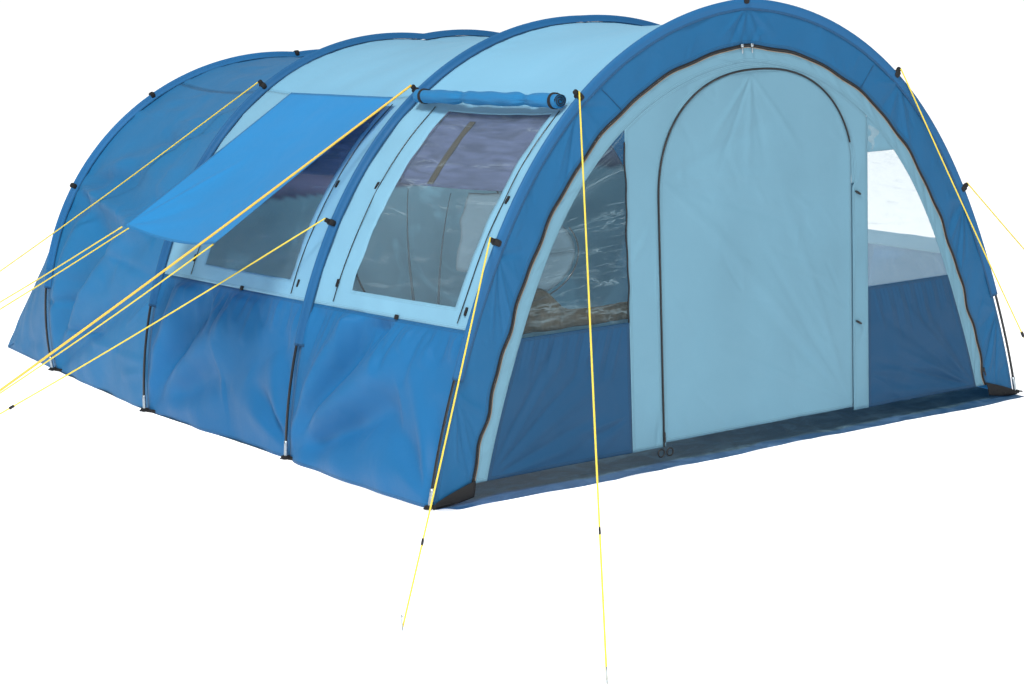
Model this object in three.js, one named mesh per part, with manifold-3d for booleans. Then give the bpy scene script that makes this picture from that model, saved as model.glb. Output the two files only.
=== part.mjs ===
// Four-arch tunnel tent: poles, sleeves, flysheet panels, front wall with door, awning, cabin and guy ropes.
// Millimetres. +Z is up, +X is across the tent and the front wall faces -Y.
// The origin is on the ground, at the middle of the tent's own box.
import * as THREE from 'three';
import { mergeVertices } from 'three/addons/utils/BufferGeometryUtils.js';
import Module from 'manifold-3d';

const wasm = await Module();
wasm.setup();

// ---- Driving dimensions -------------------------------------------------------------------------
// Each arch: distance behind the front arch, half width on the ground, height at the crown,
// shoulder (how far the arch is fuller than an ellipse at 45 degrees), splay (how far the legs
// stand outwards) and the height at which its sleeve stops.
const ARCHES = [
  { back: 0, halfWidth: 1722, height: 2000, shoulder: -108, splay: -26, sleeveEnd: 522 },
  { back: 1228, halfWidth: 1741, height: 1938, shoulder: -13, splay: -18, sleeveEnd: 522 },
  { back: 2719, halfWidth: 1783, height: 1854, shoulder: 60, splay: -29, sleeveEnd: 548 },
  { back: 4222, halfWidth: 1698, height: 1748, shoulder: 112, splay: 11, sleeveEnd: 489 },
];
const REAR_LENGTH = 1030; // rear wall's foot behind the last arch
const REAR_HALF_WIDTH = 1600; // rear wall's half width on the ground
const REAR_HEM_SHARE = 0.985; // how far down its slope the rear wall's hem lies
const REAR_CORNER_ANGLE = 0.62; // the rear side gore runs up the arch to this angle, radians

const POLE_RADIUS = 6.35;
const POLE_FOOT = 3; // pole end above the ground
const SLEEVE_BORE = 12; // radius inside the pole sleeve
const SLEEVE_RADIUS = 18; // radius outside the pole sleeve
const SLEEVE_TO_SKIN = 4; // room between a sleeve and the flysheet it is sewn on
const FABRIC = 3; // thickness of a fabric panel
const PANE = 1.5; // thickness of a clear window
const SEAM = 0.6; // gap between two panels that are sewn together
const SAG = 48; // how far the flysheet dips between two arches

const WALL_SEAM = 712; // seam between the dark lower wall and the light window panel
const ROOF_SEAM = 1612; // seam between the window panel and the roof
const WINDOW_SILL = 795;
const WINDOW_HEAD = 1575;
const WINDOWS = [
  { bay: 0, from: 165, to: 940 }, // measured back from the front arch of its bay
  { bay: 1, from: 235, to: 1073 },
];

const HEM = 78; // front wall's lower edge above the ground
const ZIP_INSET = 195; // middle of the front zip, in from the front arch
const ZIP_WIDTH = 24;
const ZIP_PROUD = 1; // a zip stands this far out of the fabric
const STRIP_INSET = 265; // inner edge of the light strip beside the front zip
const CENTRE_LEFT = 680; // centre panel's left edge, from the middle
const CENTRE_RIGHT = 720;
const FRONT_SILL = 655;
const DOOR_LEFT = 495; // door's free edge, from the middle
const DOOR_RIGHT = 620; // door's hinge edge, from the middle
const DOOR_SPRING = 1150; // height where the door's arch begins
const DOOR_TOP = 1689;
const DOOR_ARCH_POWER = 2.3; // 2 is an ellipse, more is squarer
const DOOR_HINGE_GAP = 4; // from the hinge line to the door and to the wall
const DOOR_HEM = 96;

const CLIP_HEIGHTS = [1632, 1064]; // upper and lower guy points on an arch
const CLIP_SIZE = [26, 30, 40];
const CLIP_ARCHES = [0, 1, 2];
const CLIP_GRIP = 6; // how deep a clip sits in its sleeve
const TANGENT_STEP = 0.001; // radians along an arch over which its slope is taken

const AWNING_HINGE = { out: 1012, up: 1606 };
const AWNING_EDGE = { out: 1970, up: 1015 };
const AWNING_FROM = 1350; // awning's sides, back from the front arch
const AWNING_TO = 2378;

const ROLL_RADIUS = 34; // a rolled window cover
const ROLL_END_GAP = 78; // from an arch to the end of a roll
const ROLL_HEIGHT = 1618;

const FLOOR_THICKNESS = 3;
const FLOOR_PORCH = 92; // groundsheet in front of the front arch
const FLOOR_EDGE_GAP = 34; // groundsheet's edge in from a pole foot
const FLOOR_REAR_GAP = 102; // groundsheet's rear edge in from the rear wall's foot
const CABIN_GAP = 95; // sleeping cabin inside the flysheet
const CABIN_BACK = 62; // cabin front behind the third arch
const CABIN_DOOR_HALF = 520;
const CABIN_DOOR_TOP = 1480;
const CABIN_DOOR_SILL = 60;
const CABIN_REAR_SHARE = 0.84; // how far down the rear wall's slope the cabin reaches

const SLIDER_LENGTH = 46;
const SLIDER_WIDTH = 15;
const SLIDER_DEPTH = 9;
const SLIDER_CLEAR = 0.8;
const DOOR_SLIDER_HEIGHT = 125;
const FRONT_SLIDER_HEIGHT = 150;

const ROPE_RADIUS = 2.5;
// Guy ropes, each from where it leaves its clip to its peg, in millimetres from the front arch's foot line.
const GUYS = {
  guy_front_left_upper: [[-920, -19, 1658], [-1415, -729, 1094], [-1911, -1438, 546], [-2406, -2148, 14]],
  guy_front_left_lower: [[-1375, 0, 1090], [-1790, -432, 720], [-2204, -865, 361], [-2619, -1297, 14]],
  guy_second_left_upper: [[-985, 1228, 1664], [-1920, 1319, 1098], [-2854, 1409, 548], [-3789, 1500, 14]],
  guy_second_left_lower: [[-1471, 1228, 1089], [-1952, 1671, 719], [-2433, 2113, 360], [-2914, 2556, 14]],
  guy_third_left_upper: [[-1011, 2738, 1658], [-1491, 3585, 1092], [-1970, 4433, 544], [-2450, 5280, 14]],
  guy_third_left_lower: [[-1541, 2719, 1088], [-1944, 3263, 718], [-2347, 3806, 360], [-2750, 4350, 14]],
  guy_awning_rear: [[-1976, 2386, 1009], [-2187, 3177, 663], [-2399, 3969, 332], [-2610, 4760, 14]],
  guy_awning_front: [[-1979, 1352, 1009], [-2229, 1901, 666], [-2480, 2451, 335], [-2730, 3000, 14]],
  guy_front_right_upper: [[920, -19, 1658], [1207, -73, 1100], [1493, -126, 552], [1780, -180, 14]],
  guy_front_right_lower: [[1375, 0, 1090], [1812, 33, 721], [2250, 67, 363], [2687, 100, 14]],
  guy_second_right_upper: [[972, 1247, 1658], [1531, 1598, 1096], [2091, 1949, 548], [2650, 2300, 14]],
  guy_second_right_lower: [[1471, 1228, 1089], [1854, 1512, 721], [2237, 1796, 363], [2620, 2080, 14]],
  guy_third_right_upper: [[1011, 2738, 1658], [1491, 3525, 1093], [1970, 4313, 545], [2450, 5100, 14]],
  guy_third_right_lower: [[1541, 2719, 1088], [1814, 3239, 719], [2087, 3760, 361], [2360, 4280, 14]],
};

// ---- Colours ------------------------------------------------------------------------------------
const COLOURS = {
  pole: ['#1c1d20', 0.35, 0.2],
  darkBlue: ['#2a76ae', 0.7, 0],
  lightBlue: ['#8cc0dc', 0.75, 0],
  awningBlue: ['#3c9bdc', 0.65, 0],
  clear: ['#c4d2d8', 0.08, 0],
  black: ['#17181b', 0.6, 0],
  grey: ['#6d7c78', 0.85, 0],
  floor: ['#3c5055', 0.6, 0],
  guy: ['#ecd84e', 0.7, 0],
};

const tent = new THREE.Group();

function add(name, geometry, colour) {
  const [color, roughness, metalness] = COLOURS[colour];
  const mesh = new THREE.Mesh(geometry, new THREE.MeshStandardMaterial({ color, roughness, metalness }));
  mesh.name = name;
  tent.add(mesh);
  return mesh;
}

// ---- Arch geometry ------------------------------------------------------------------------------
// Radius of an arch from the middle of its foot line. The angle is 0 at the left foot and PI at the right.
function archRadius(arch, angle) {
  const fromGround = Math.min(angle, Math.PI - angle);
  const rise = (arch.height - arch.halfWidth) * Math.sin(fromGround) ** 2;
  return arch.halfWidth + rise + arch.shoulder * Math.sin(2 * fromGround) + arch.splay * Math.sin(4 * fromGround);
}

function archPoint(arch, angle, inset = 0) {
  const radius = archRadius(arch, angle) - inset;
  return [-radius * Math.cos(angle), radius * Math.sin(angle)];
}

// Left-hand angle at which a curve set in from the arch passes a test, by halving the range.
function leftAngle(test) {
  let low = 0;
  let high = Math.PI / 2;
  for (let i = 0; i < 50; i += 1) {
    const middle = (low + high) / 2;
    if (test(middle)) {
      high = middle;
    } else {
      low = middle;
    }
  }
  return high;
}

const angleAtHeight = (arch, height, inset = 0) => leftAngle((a) => archPoint(arch, a, inset)[1] >= height);
const angleAtWidth = (arch, halfWidth, inset) => leftAngle((a) => -archPoint(arch, a, inset)[0] <= halfWidth);

const SKIN_INSET = SLEEVE_RADIUS + SLEEVE_TO_SKIN;
const REAR_FOOT = ARCHES[3].back + REAR_LENGTH;

class ArchCurve extends THREE.Curve {
  constructor(arch, startHeight) {
    super();
    this.arch = arch;
    this.start = angleAtHeight(arch, startHeight);
  }

  getPoint(t, target = new THREE.Vector3()) {
    const angle = this.start + t * (Math.PI - 2 * this.start);
    const [x, z] = archPoint(this.arch, angle);
    return target.set(x, this.arch.back, z);
  }
}

// ---- Solids -------------------------------------------------------------------------------------
function circleShape(radius, sides, Kind = THREE.Shape) {
  const shape = new Kind();
  for (let i = 0; i < sides; i += 1) {
    const a = (i / sides) * 2 * Math.PI;
    const move = i === 0 ? 'moveTo' : 'lineTo';
    shape[move](radius * Math.cos(a), radius * Math.sin(a));
  }
  shape.closePath();
  return shape;
}

function rod(path, radius, steps, bore = 0) {
  const section = circleShape(radius, 8);
  if (bore > 0) {
    section.holes.push(circleShape(bore, 8, THREE.Path));
  }
  return new THREE.ExtrudeGeometry(section, { steps, extrudePath: path, curveSegments: 1, bevelEnabled: false });
}

// A closed wall on a grid of points. isOpen leaves cells out, which makes a real hole.
function shell(outer, inner, isOpen = () => false) {
  const rows = outer.length;
  const columns = outer[0].length;
  const at = (i, j, side) => (i * columns + j) * 2 + side;
  const positions = [];
  for (let i = 0; i < rows; i += 1) {
    for (let j = 0; j < columns; j += 1) {
      positions.push(...outer[i][j], ...inner[i][j]);
    }
  }
  const isCell = (i, j) => i >= 0 && j >= 0 && i < rows - 1 && j < columns - 1 && !isOpen(i, j);
  const faces = [];
  const quad = (a, b, c, d) => faces.push(a, b, c, a, c, d);
  for (let i = 0; i < rows - 1; i += 1) {
    for (let j = 0; j < columns - 1; j += 1) {
      if (!isCell(i, j)) {
        continue;
      }
      quad(at(i, j, 0), at(i + 1, j, 0), at(i + 1, j + 1, 0), at(i, j + 1, 0));
      quad(at(i, j, 1), at(i, j + 1, 1), at(i + 1, j + 1, 1), at(i + 1, j, 1));
      if (!isCell(i - 1, j)) {
        quad(at(i, j, 0), at(i, j + 1, 0), at(i, j + 1, 1), at(i, j, 1));
      }
      if (!isCell(i + 1, j)) {
        quad(at(i + 1, j, 0), at(i + 1, j, 1), at(i + 1, j + 1, 1), at(i + 1, j + 1, 0));
      }
      if (!isCell(i, j - 1)) {
        quad(at(i, j, 0), at(i, j, 1), at(i + 1, j, 1), at(i + 1, j, 0));
      }
      if (!isCell(i, j + 1)) {
        quad(at(i, j + 1, 0), at(i + 1, j + 1, 0), at(i + 1, j + 1, 1), at(i, j + 1, 1));
      }
    }
  }
  return facedOut(positions, faces);
}

// Turns every triangle round if the solid's signed volume is negative.
function facedOut(positions, faces) {
  const corner = (k) => new THREE.Vector3().fromArray(positions, faces[k] * 3);
  let volume = 0;
  for (let k = 0; k < faces.length; k += 3) {
    volume += corner(k).dot(corner(k + 1).cross(corner(k + 2)));
  }
  if (volume < 0) {
    faces.reverse();
  }
  const geometry = new THREE.BufferGeometry();
  geometry.setAttribute('position', new THREE.Float32BufferAttribute(positions, 3));
  geometry.setIndex(faces);
  geometry.computeVertexNormals();
  return geometry;
}

function spread(from, to, count) {
  return Array.from({ length: count + 1 }, (_, i) => from + ((to - from) * i) / count);
}

// A flat upright plate parallel to the front wall, from an outline of [x, z] points.
function plate(points, front, thickness, holes = []) {
  const shape = new THREE.Shape(points.map(([x, z]) => new THREE.Vector2(x, z)));
  shape.holes = holes.map((hole) => new THREE.Path(hole.map(([x, z]) => new THREE.Vector2(x, z))));
  const geometry = new THREE.ExtrudeGeometry(shape, { depth: thickness, steps: 1, bevelEnabled: false });
  geometry.rotateX(Math.PI / 2);
  geometry.translate(0, front + thickness, 0);
  return geometry;
}

// ---- Booleans -----------------------------------------------------------------------------------
const WELD = 0.001; // points nearer than this become one

function toManifold(geometry) {
  const bare = geometry.clone();
  bare.deleteAttribute('normal');
  bare.deleteAttribute('uv');
  const merged = mergeVertices(bare, WELD);
  const vertProperties = new Float32Array(merged.attributes.position.array);
  const triVerts = new Uint32Array(merged.index.array);
  return new wasm.Manifold(new wasm.Mesh({ numProp: 3, vertProperties, triVerts }));
}

function join(geometries) {
  const whole = geometries.map(toManifold).reduce((a, b) => a.add(b));
  const mesh = whole.getMesh();
  const geometry = new THREE.BufferGeometry();
  geometry.setAttribute('position', new THREE.BufferAttribute(mesh.vertProperties, 3));
  geometry.setIndex(new THREE.BufferAttribute(mesh.triVerts, 1));
  geometry.computeVertexNormals();
  return geometry;
}

// ---- Poles and sleeves --------------------------------------------------------------------------
const ORDER = ['front', 'second', 'third', 'rear'];
const SLEEVE_STEPS = 28;
const POLE_STEPS = 36;

function guyClip(arch, height, side) {
  const angle = angleAtHeight(arch, height);
  const [x, z] = archPoint(arch, angle, 0);
  const [nextX, nextZ] = archPoint(arch, angle + TANGENT_STEP, 0);
  const normal = Math.atan2(nextX - x, nextZ - z); // the arch's own slope there, upright at the ground
  const out = SLEEVE_RADIUS - CLIP_GRIP + CLIP_SIZE[0] / 2;
  const clip = new THREE.BoxGeometry(...CLIP_SIZE);
  clip.rotateY(normal);
  clip.translate(x - out * Math.cos(normal), arch.back, z + out * Math.sin(normal));
  if (side > 0) {
    clip.rotateZ(Math.PI);
    clip.translate(0, 2 * arch.back, 0);
  }
  return clip;
}

function sleeve(arch, hasClips) {
  const tube = rod(new ArchCurve(arch, arch.sleeveEnd), SLEEVE_RADIUS, SLEEVE_STEPS, SLEEVE_BORE);
  if (!hasClips) {
    return tube;
  }
  const clips = CLIP_HEIGHTS.flatMap((height) => [-1, 1].map((side) => guyClip(arch, height, side)));
  return join([tube, ...clips]);
}

ARCHES.forEach((arch, index) => {
  add(`${ORDER[index]}_pole`, rod(new ArchCurve(arch, POLE_FOOT), POLE_RADIUS, POLE_STEPS), 'pole');
  add(`${ORDER[index]}_sleeve`, sleeve(arch, CLIP_ARCHES.includes(index)), 'darkBlue');
});

// ---- Flysheet between the arches ----------------------------------------------------------------
// A point of the flysheet: u runs from 0 at the bay's front arch to 1 at its rear arch, and the two angles
// are where the row meets each arch. The fabric dips between the arches, most at the crown.
function skinPoint(bay, u, frontAngle, rearAngle, inset) {
  const front = ARCHES[bay];
  const rear = ARCHES[bay + 1];
  const [x0, z0] = archPoint(front, frontAngle, inset);
  const [x1, z1] = archPoint(rear, rearAngle, inset);
  const angle = frontAngle + u * (rearAngle - frontAngle);
  const dip = SAG * 4 * u * (1 - u) * Math.sin(angle) ** 2;
  const x = x0 + u * (x1 - x0) + dip * Math.cos(angle);
  const z = z0 + u * (z1 - z0) - dip * Math.sin(angle);
  return [x, front.back + u * (rear.back - front.back), z];
}

function baySkin(bay, us, rows, options = {}) {
  const { inset = SKIN_INSET, thickness = FABRIC, isOpen = () => false } = options;
  const grid = (depth) => rows.map(([a, b]) => us.map((u) => skinPoint(bay, u, a, b, depth)));
  return shell(grid(inset), grid(inset + thickness), isOpen);
}

const bayLength = (bay) => ARCHES[bay + 1].back - ARCHES[bay].back;
const edgeOf = (bay) => SEAM / 2 / bayLength(bay);

// Rows of the left wall at given heights, and the same rows mirrored for the right wall.
function rowsAtHeights(bay, heights) {
  const arches = [ARCHES[bay], ARCHES[bay + 1]];
  return heights.map((height) => arches.map((arch) => angleAtHeight(arch, height, SKIN_INSET)));
}

const mirrorRows = (rows) => rows.map(([a, b]) => [Math.PI - a, Math.PI - b]);
const sides = { left: (rows) => rows, right: mirrorRows };

function windowLines(window, shrink = 0) {
  const length = bayLength(window.bay);
  return [(window.from + shrink) / length, (window.to - shrink) / length];
}

function windowPanel(bay, window, turn) {
  const edge = edgeOf(bay);
  const [from, to] = windowLines(window);
  const us = [edge, from, ...spread(from, to, 3).slice(1, -1), to, 1 - edge];
  const middle = spread(WINDOW_SILL, WINDOW_HEAD, 5);
  const heights = [WALL_SEAM + SEAM / 2, ...middle, ROOF_SEAM - SEAM / 2];
  const isOpen = (i, j) => i >= 1 && i < heights.length - 2 && j >= 1 && j < us.length - 2;
  return baySkin(bay, us, turn(rowsAtHeights(bay, heights)), { isOpen });
}

function windowPane(window, turn) {
  const [from, to] = windowLines(window, SEAM);
  const heights = spread(WINDOW_SILL + SEAM, WINDOW_HEAD - SEAM, 5);
  const inset = SKIN_INSET + (FABRIC - PANE) / 2;
  const rows = turn(rowsAtHeights(window.bay, heights));
  return baySkin(window.bay, spread(from, to, 3), rows, { inset, thickness: PANE });
}

function roof(bay) {
  const edge = edgeOf(bay);
  const [start] = rowsAtHeights(bay, [ROOF_SEAM + SEAM / 2]);
  const rows = spread(0, 1, 12).map((t) => start.map((a) => a + t * (Math.PI - 2 * a)));
  return baySkin(bay, spread(edge, 1 - edge, 4), rows);
}

function wallPanel(bay, bottom, top, count, turn) {
  const edge = edgeOf(bay);
  return baySkin(bay, spread(edge, 1 - edge, 4), turn(rowsAtHeights(bay, spread(bottom, top, count))));
}

WINDOWS.forEach((window) => {
  const { bay } = window;
  const name = `bay${bay + 1}`;
  Object.entries(sides).forEach(([side, turn]) => {
    add(`${name}_lower_wall_${side}`, wallPanel(bay, 0, WALL_SEAM - SEAM / 2, 4, turn), 'darkBlue');
    add(`${name}_window_panel_${side}`, windowPanel(bay, window, turn), 'lightBlue');
    add(`${name}_window_pane_${side}`, windowPane(window, turn), 'clear');
  });
  add(`${name}_roof`, roof(bay), 'lightBlue');
});

Object.entries(sides).forEach(([side, turn]) => {
  add(`bay3_wall_${side}`, wallPanel(2, 0, ROOF_SEAM - SEAM / 2, 8, turn), 'darkBlue');
});
add('bay3_roof', roof(2), 'darkBlue');

// ---- Rear wall ----------------------------------------------------------------------------------
// Ruled from the last arch to the ground line behind it. Below the corner angle every line runs to the
// rear corner, and above it the lines spread along the foot of the wall.
function rearPoint(angle, t, inset) {
  const arch = ARCHES[3];
  const [x, z] = archPoint(arch, angle, inset);
  const across = (angle - REAR_CORNER_ANGLE) / (Math.PI - 2 * REAR_CORNER_ANGLE);
  const footX = (THREE.MathUtils.clamp(across, 0, 1) * 2 - 1) * (REAR_HALF_WIDTH - (inset - SKIN_INSET));
  const footY = REAR_FOOT - (inset - SKIN_INSET);
  const y = arch.back + t * (footY - arch.back);
  return [x + t * (footX - x), y, z * (1 - t)];
}

function rearWall(inset, thickness) {
  const angles = spread(0, Math.PI, 24);
  const start = SEAM / 2 / REAR_LENGTH;
  const steps = spread(start, REAR_HEM_SHARE, 4);
  const grid = (depth) => angles.map((a) => steps.map((t) => rearPoint(a, t, depth)));
  return shell(grid(inset), grid(inset + thickness));
}
add('rear_wall', rearWall(SKIN_INSET, FABRIC), 'darkBlue');

// ---- Front wall ---------------------------------------------------------------------------------
const FRONT = ARCHES[0];
const FRONT_FACE = -FABRIC - SEAM; // front wall's outer face
const WALL_STEPS = 32; // steps along a curve of the front wall

// Points along a curve set in from the front arch, from the left hem to the right hem.
function insetArc(inset, height, count) {
  const start = angleAtHeight(FRONT, height, inset);
  return spread(start, Math.PI - start, count).map((a) => archPoint(FRONT, a, inset));
}

const mirrored = (points) => points.map(([x, z]) => [-x, z]);

function hood() {
  const inner = insetArc(ZIP_INSET - ZIP_WIDTH / 2 - SEAM, HEM, WALL_STEPS);
  return plate([...insetArc(SKIN_INSET, HEM, WALL_STEPS), ...inner.reverse()], FRONT_FACE, FABRIC);
}

function frontZip() {
  const outer = insetArc(ZIP_INSET - ZIP_WIDTH / 2, HEM, WALL_STEPS);
  const inner = insetArc(ZIP_INSET + ZIP_WIDTH / 2, HEM, WALL_STEPS);
  return plate([...outer, ...inner.reverse()], FRONT_FACE - ZIP_PROUD, FABRIC + ZIP_PROUD);
}

// The door's edge, grown outwards: up the free side, over the arch and down to the hinge side's spring.
function doorEdge(grow) {
  const middle = (DOOR_RIGHT - DOOR_LEFT) / 2;
  const half = (DOOR_RIGHT + DOOR_LEFT) / 2 + grow;
  const rise = DOOR_TOP - DOOR_SPRING + grow;
  const power = 2 / DOOR_ARCH_POWER;
  return spread(Math.PI, 0, 20).map((a) => {
    const c = Math.cos(a);
    const s = Math.max(Math.sin(a), 0);
    return [middle + half * Math.sign(c) * Math.abs(c) ** power, DOOR_SPRING + rise * s ** power];
  });
}

// Left-hand angles along the strip's inner edge: hem to sill, then sill to where it meets the centre panel.
function stripAngles(centre, gap, bottom, top) {
  const hem = angleAtHeight(FRONT, bottom, STRIP_INSET + gap);
  const sill = angleAtHeight(FRONT, top, STRIP_INSET + gap);
  const meet = angleAtWidth(FRONT, centre + gap, STRIP_INSET + gap);
  return { lower: spread(hem, sill, 5), upper: spread(sill, meet, 7) };
}

const leftPoints = (angles, inset) => angles.map((a) => archPoint(FRONT, a, inset));

function surround() {
  const outerInset = ZIP_INSET + ZIP_WIDTH / 2 + SEAM;
  const edges = [CENTRE_LEFT, CENTRE_RIGHT].map((centre) => {
    const { lower, upper } = stripAngles(centre, 0, HEM, FRONT_SILL);
    return leftPoints([...lower, ...upper.slice(1)], STRIP_INSET);
  });
  const doorway = doorEdge(ZIP_WIDTH + SEAM);
  const wallEdge = DOOR_RIGHT + DOOR_HINGE_GAP;
  const points = [
    ...insetArc(outerInset, HEM, WALL_STEPS),
    ...mirrored(edges[1]),
    [CENTRE_RIGHT, HEM],
    [wallEdge, HEM],
    [wallEdge, DOOR_SPRING - SEAM],
    ...doorway.reverse(),
    [-DOOR_LEFT - ZIP_WIDTH - SEAM, HEM],
    [-CENTRE_LEFT, HEM],
    ...edges[0].reverse(),
  ];
  return plate(points, FRONT_FACE, FABRIC);
}

function doorZip() {
  const inner = doorEdge(0);
  const outer = doorEdge(ZIP_WIDTH);
  const points = [[-DOOR_LEFT - ZIP_WIDTH, HEM], ...outer, ...inner.reverse(), [-DOOR_LEFT, HEM]];
  return plate(points, FRONT_FACE - ZIP_PROUD, FABRIC + ZIP_PROUD);
}

function door() {
  const hingeEdge = DOOR_RIGHT - DOOR_HINGE_GAP;
  const edge = doorEdge(-SEAM).map(([x, z]) => [Math.min(x, hingeEdge), z]);
  const points = [[-DOOR_LEFT + SEAM, DOOR_HEM], ...edge, [hingeEdge, DOOR_HEM]];
  return plate(points, FRONT_FACE, FABRIC);
}

// The lower panel and the window above it fill the space between the strip and the centre panel.
function frontLowerPanel(centre, turn) {
  const { lower } = stripAngles(centre, SEAM, HEM, FRONT_SILL - SEAM);
  const inner = -centre - SEAM;
  const arc = leftPoints(lower, STRIP_INSET + SEAM);
  return plate(turn([...arc, [inner, FRONT_SILL - SEAM], [inner, HEM]]), FRONT_FACE, FABRIC);
}

function frontWindowPane(centre, turn) {
  const { upper } = stripAngles(centre, SEAM, HEM, FRONT_SILL);
  const arc = leftPoints(upper, STRIP_INSET + SEAM);
  return plate(turn([...arc, [-centre - SEAM, FRONT_SILL]]), FRONT_FACE + (FABRIC - PANE) / 2, PANE);
}

const frontSides = [['left', CENTRE_LEFT, (p) => p], ['right', CENTRE_RIGHT, mirrored]];
add('front_hood', hood(), 'darkBlue');
add('front_zip', frontZip(), 'black');
add('front_surround', surround(), 'lightBlue');
frontSides.forEach(([side, centre, turn]) => {
  add(`front_lower_panel_${side}`, frontLowerPanel(centre, turn), 'darkBlue');
  add(`front_window_pane_${side}`, frontWindowPane(centre, turn), 'clear');
});
add('door_zip', doorZip(), 'black');
add('door', door(), 'lightBlue');

// ---- Zip sliders --------------------------------------------------------------------------------
function slider(x, z, tilt) {
  const body = new THREE.BoxGeometry(SLIDER_WIDTH, SLIDER_DEPTH, SLIDER_LENGTH);
  body.rotateY(tilt);
  body.translate(x, FRONT_FACE - ZIP_PROUD - SLIDER_CLEAR - SLIDER_DEPTH / 2, z);
  return body;
}

const zipAngle = Math.PI - angleAtHeight(FRONT, FRONT_SLIDER_HEIGHT, ZIP_INSET);
const [zipX, zipZ] = archPoint(FRONT, zipAngle, ZIP_INSET);
const [aboveX, aboveZ] = archPoint(FRONT, zipAngle - 0.1, ZIP_INSET);
add('door_zip_slider', slider(-DOOR_LEFT - ZIP_WIDTH / 2, DOOR_SLIDER_HEIGHT, 0), 'black');
add('front_zip_slider', slider(zipX, zipZ, Math.atan2(aboveX - zipX, aboveZ - zipZ)), 'black');

// ---- Awning and rolled covers -------------------------------------------------------------------
function awning() {
  const slope = Math.atan2(AWNING_HINGE.up - AWNING_EDGE.up, AWNING_EDGE.out - AWNING_HINGE.out);
  const lift = [Math.sin(slope) * FABRIC, Math.cos(slope) * FABRIC];
  const ys = spread(AWNING_FROM, AWNING_TO, 4);
  const edges = spread(0, 1, 3).map((t) => [
    -AWNING_HINGE.out - t * (AWNING_EDGE.out - AWNING_HINGE.out),
    AWNING_HINGE.up + t * (AWNING_EDGE.up - AWNING_HINGE.up),
  ]);
  const grid = (k) => edges.map(([x, z]) => ys.map((y) => [x - k * lift[0], y, z + k * lift[1]]));
  return shell(grid(1), grid(0));
}
add('awning', awning(), 'awningBlue');

function coverRoll(bay, side) {
  const length = bayLength(bay) - 2 * ROLL_END_GAP;
  const away = SKIN_INSET - ROLL_RADIUS - SLEEVE_TO_SKIN;
  const middles = [ARCHES[bay], ARCHES[bay + 1]].map((arch) => {
    return archPoint(arch, angleAtHeight(arch, ROLL_HEIGHT, away), away);
  });
  const [front, rear] = middles.map(([x, z]) => new THREE.Vector3(-side * x, 0, z));
  front.y = ARCHES[bay].back;
  rear.y = ARCHES[bay + 1].back;
  const roll = new THREE.CylinderGeometry(ROLL_RADIUS, ROLL_RADIUS, length, 12, 1);
  const along = rear.clone().sub(front).normalize();
  roll.applyQuaternion(new THREE.Quaternion().setFromUnitVectors(new THREE.Vector3(0, 1, 0), along));
  const centre = front.add(rear).multiplyScalar(0.5);
  roll.translate(centre.x, centre.y, centre.z);
  return roll;
}
add('bay1_cover_roll_left', coverRoll(0, -1), 'darkBlue');
add('bay1_cover_roll_right', coverRoll(0, 1), 'darkBlue');
add('bay2_cover_roll_right', coverRoll(1, 1), 'darkBlue');

// ---- Groundsheet and sleeping cabin -------------------------------------------------------------
function groundsheet() {
  const half = (arch) => arch.halfWidth - FLOOR_EDGE_GAP;
  const right = ARCHES.map((arch) => [half(arch), arch.back]);
  right.unshift([half(FRONT), -FLOOR_PORCH]);
  right.push([REAR_HALF_WIDTH - 2 * FLOOR_EDGE_GAP, REAR_FOOT - FLOOR_REAR_GAP]);
  const outline = [...right, ...mirrored(right).reverse()];
  const shape = new THREE.Shape(outline.map(([x, y]) => new THREE.Vector2(x, y)));
  return new THREE.ExtrudeGeometry(shape, { depth: FLOOR_THICKNESS, steps: 1, bevelEnabled: false });
}
add('groundsheet', groundsheet(), 'floor');

const CABIN_INSET = SKIN_INSET + CABIN_GAP;
const CABIN_FOOT = FLOOR_THICKNESS + SEAM;

function cabinBody() {
  const startU = (CABIN_BACK + FABRIC + SEAM) / bayLength(2);
  const angles = spread(0, Math.PI, 20);
  const lift = ([x, y, z]) => [x, y, CABIN_FOOT + z];
  const grid = (inset) => angles.map((a) => [
    ...spread(startU, 1, 3).map((u) => lift(skinPoint(2, u, a, a, inset))),
    ...spread(CABIN_REAR_SHARE / 3, CABIN_REAR_SHARE, 2).map((t) => lift(rearPoint(a, t, inset))),
  ]);
  return shell(grid(CABIN_INSET), grid(CABIN_INSET + FABRIC));
}

function cabinFront() {
  const u = CABIN_BACK / bayLength(2);
  const outline = spread(0, Math.PI, 20).map((a) => {
    const [x, , z] = skinPoint(2, u, a, a, CABIN_INSET);
    return [x, CABIN_FOOT + z];
  });
  const head = spread(0, Math.PI, 10).map((a) => {
    return [CABIN_DOOR_HALF * Math.cos(a), CABIN_DOOR_TOP - CABIN_DOOR_HALF * (1 - Math.sin(a))];
  });
  const hole = [[CABIN_DOOR_HALF, CABIN_DOOR_SILL], ...head, [-CABIN_DOOR_HALF, CABIN_DOOR_SILL]];
  return plate(outline, ARCHES[2].back + CABIN_BACK, FABRIC, [hole]);
}
add('cabin_body', cabinBody(), 'grey');
add('cabin_front', cabinFront(), 'grey');

// ---- Guy ropes ----------------------------------------------------------------------------------
// The ropes are no part of the tent's own box, whose middle is brought over the origin.
const box = new THREE.Box3().setFromObject(tent, true);
const middle = box.getCenter(new THREE.Vector3());
const ROPE_STEPS = 6;
Object.entries(GUYS).forEach(([name, route]) => {
  const path = new THREE.CatmullRomCurve3(route.map((p) => new THREE.Vector3(...p)));
  add(name, rod(path, ROPE_RADIUS, ROPE_STEPS), 'guy');
});
tent.position.set(-middle.x, -middle.y, 0);

export default tent;
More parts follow.
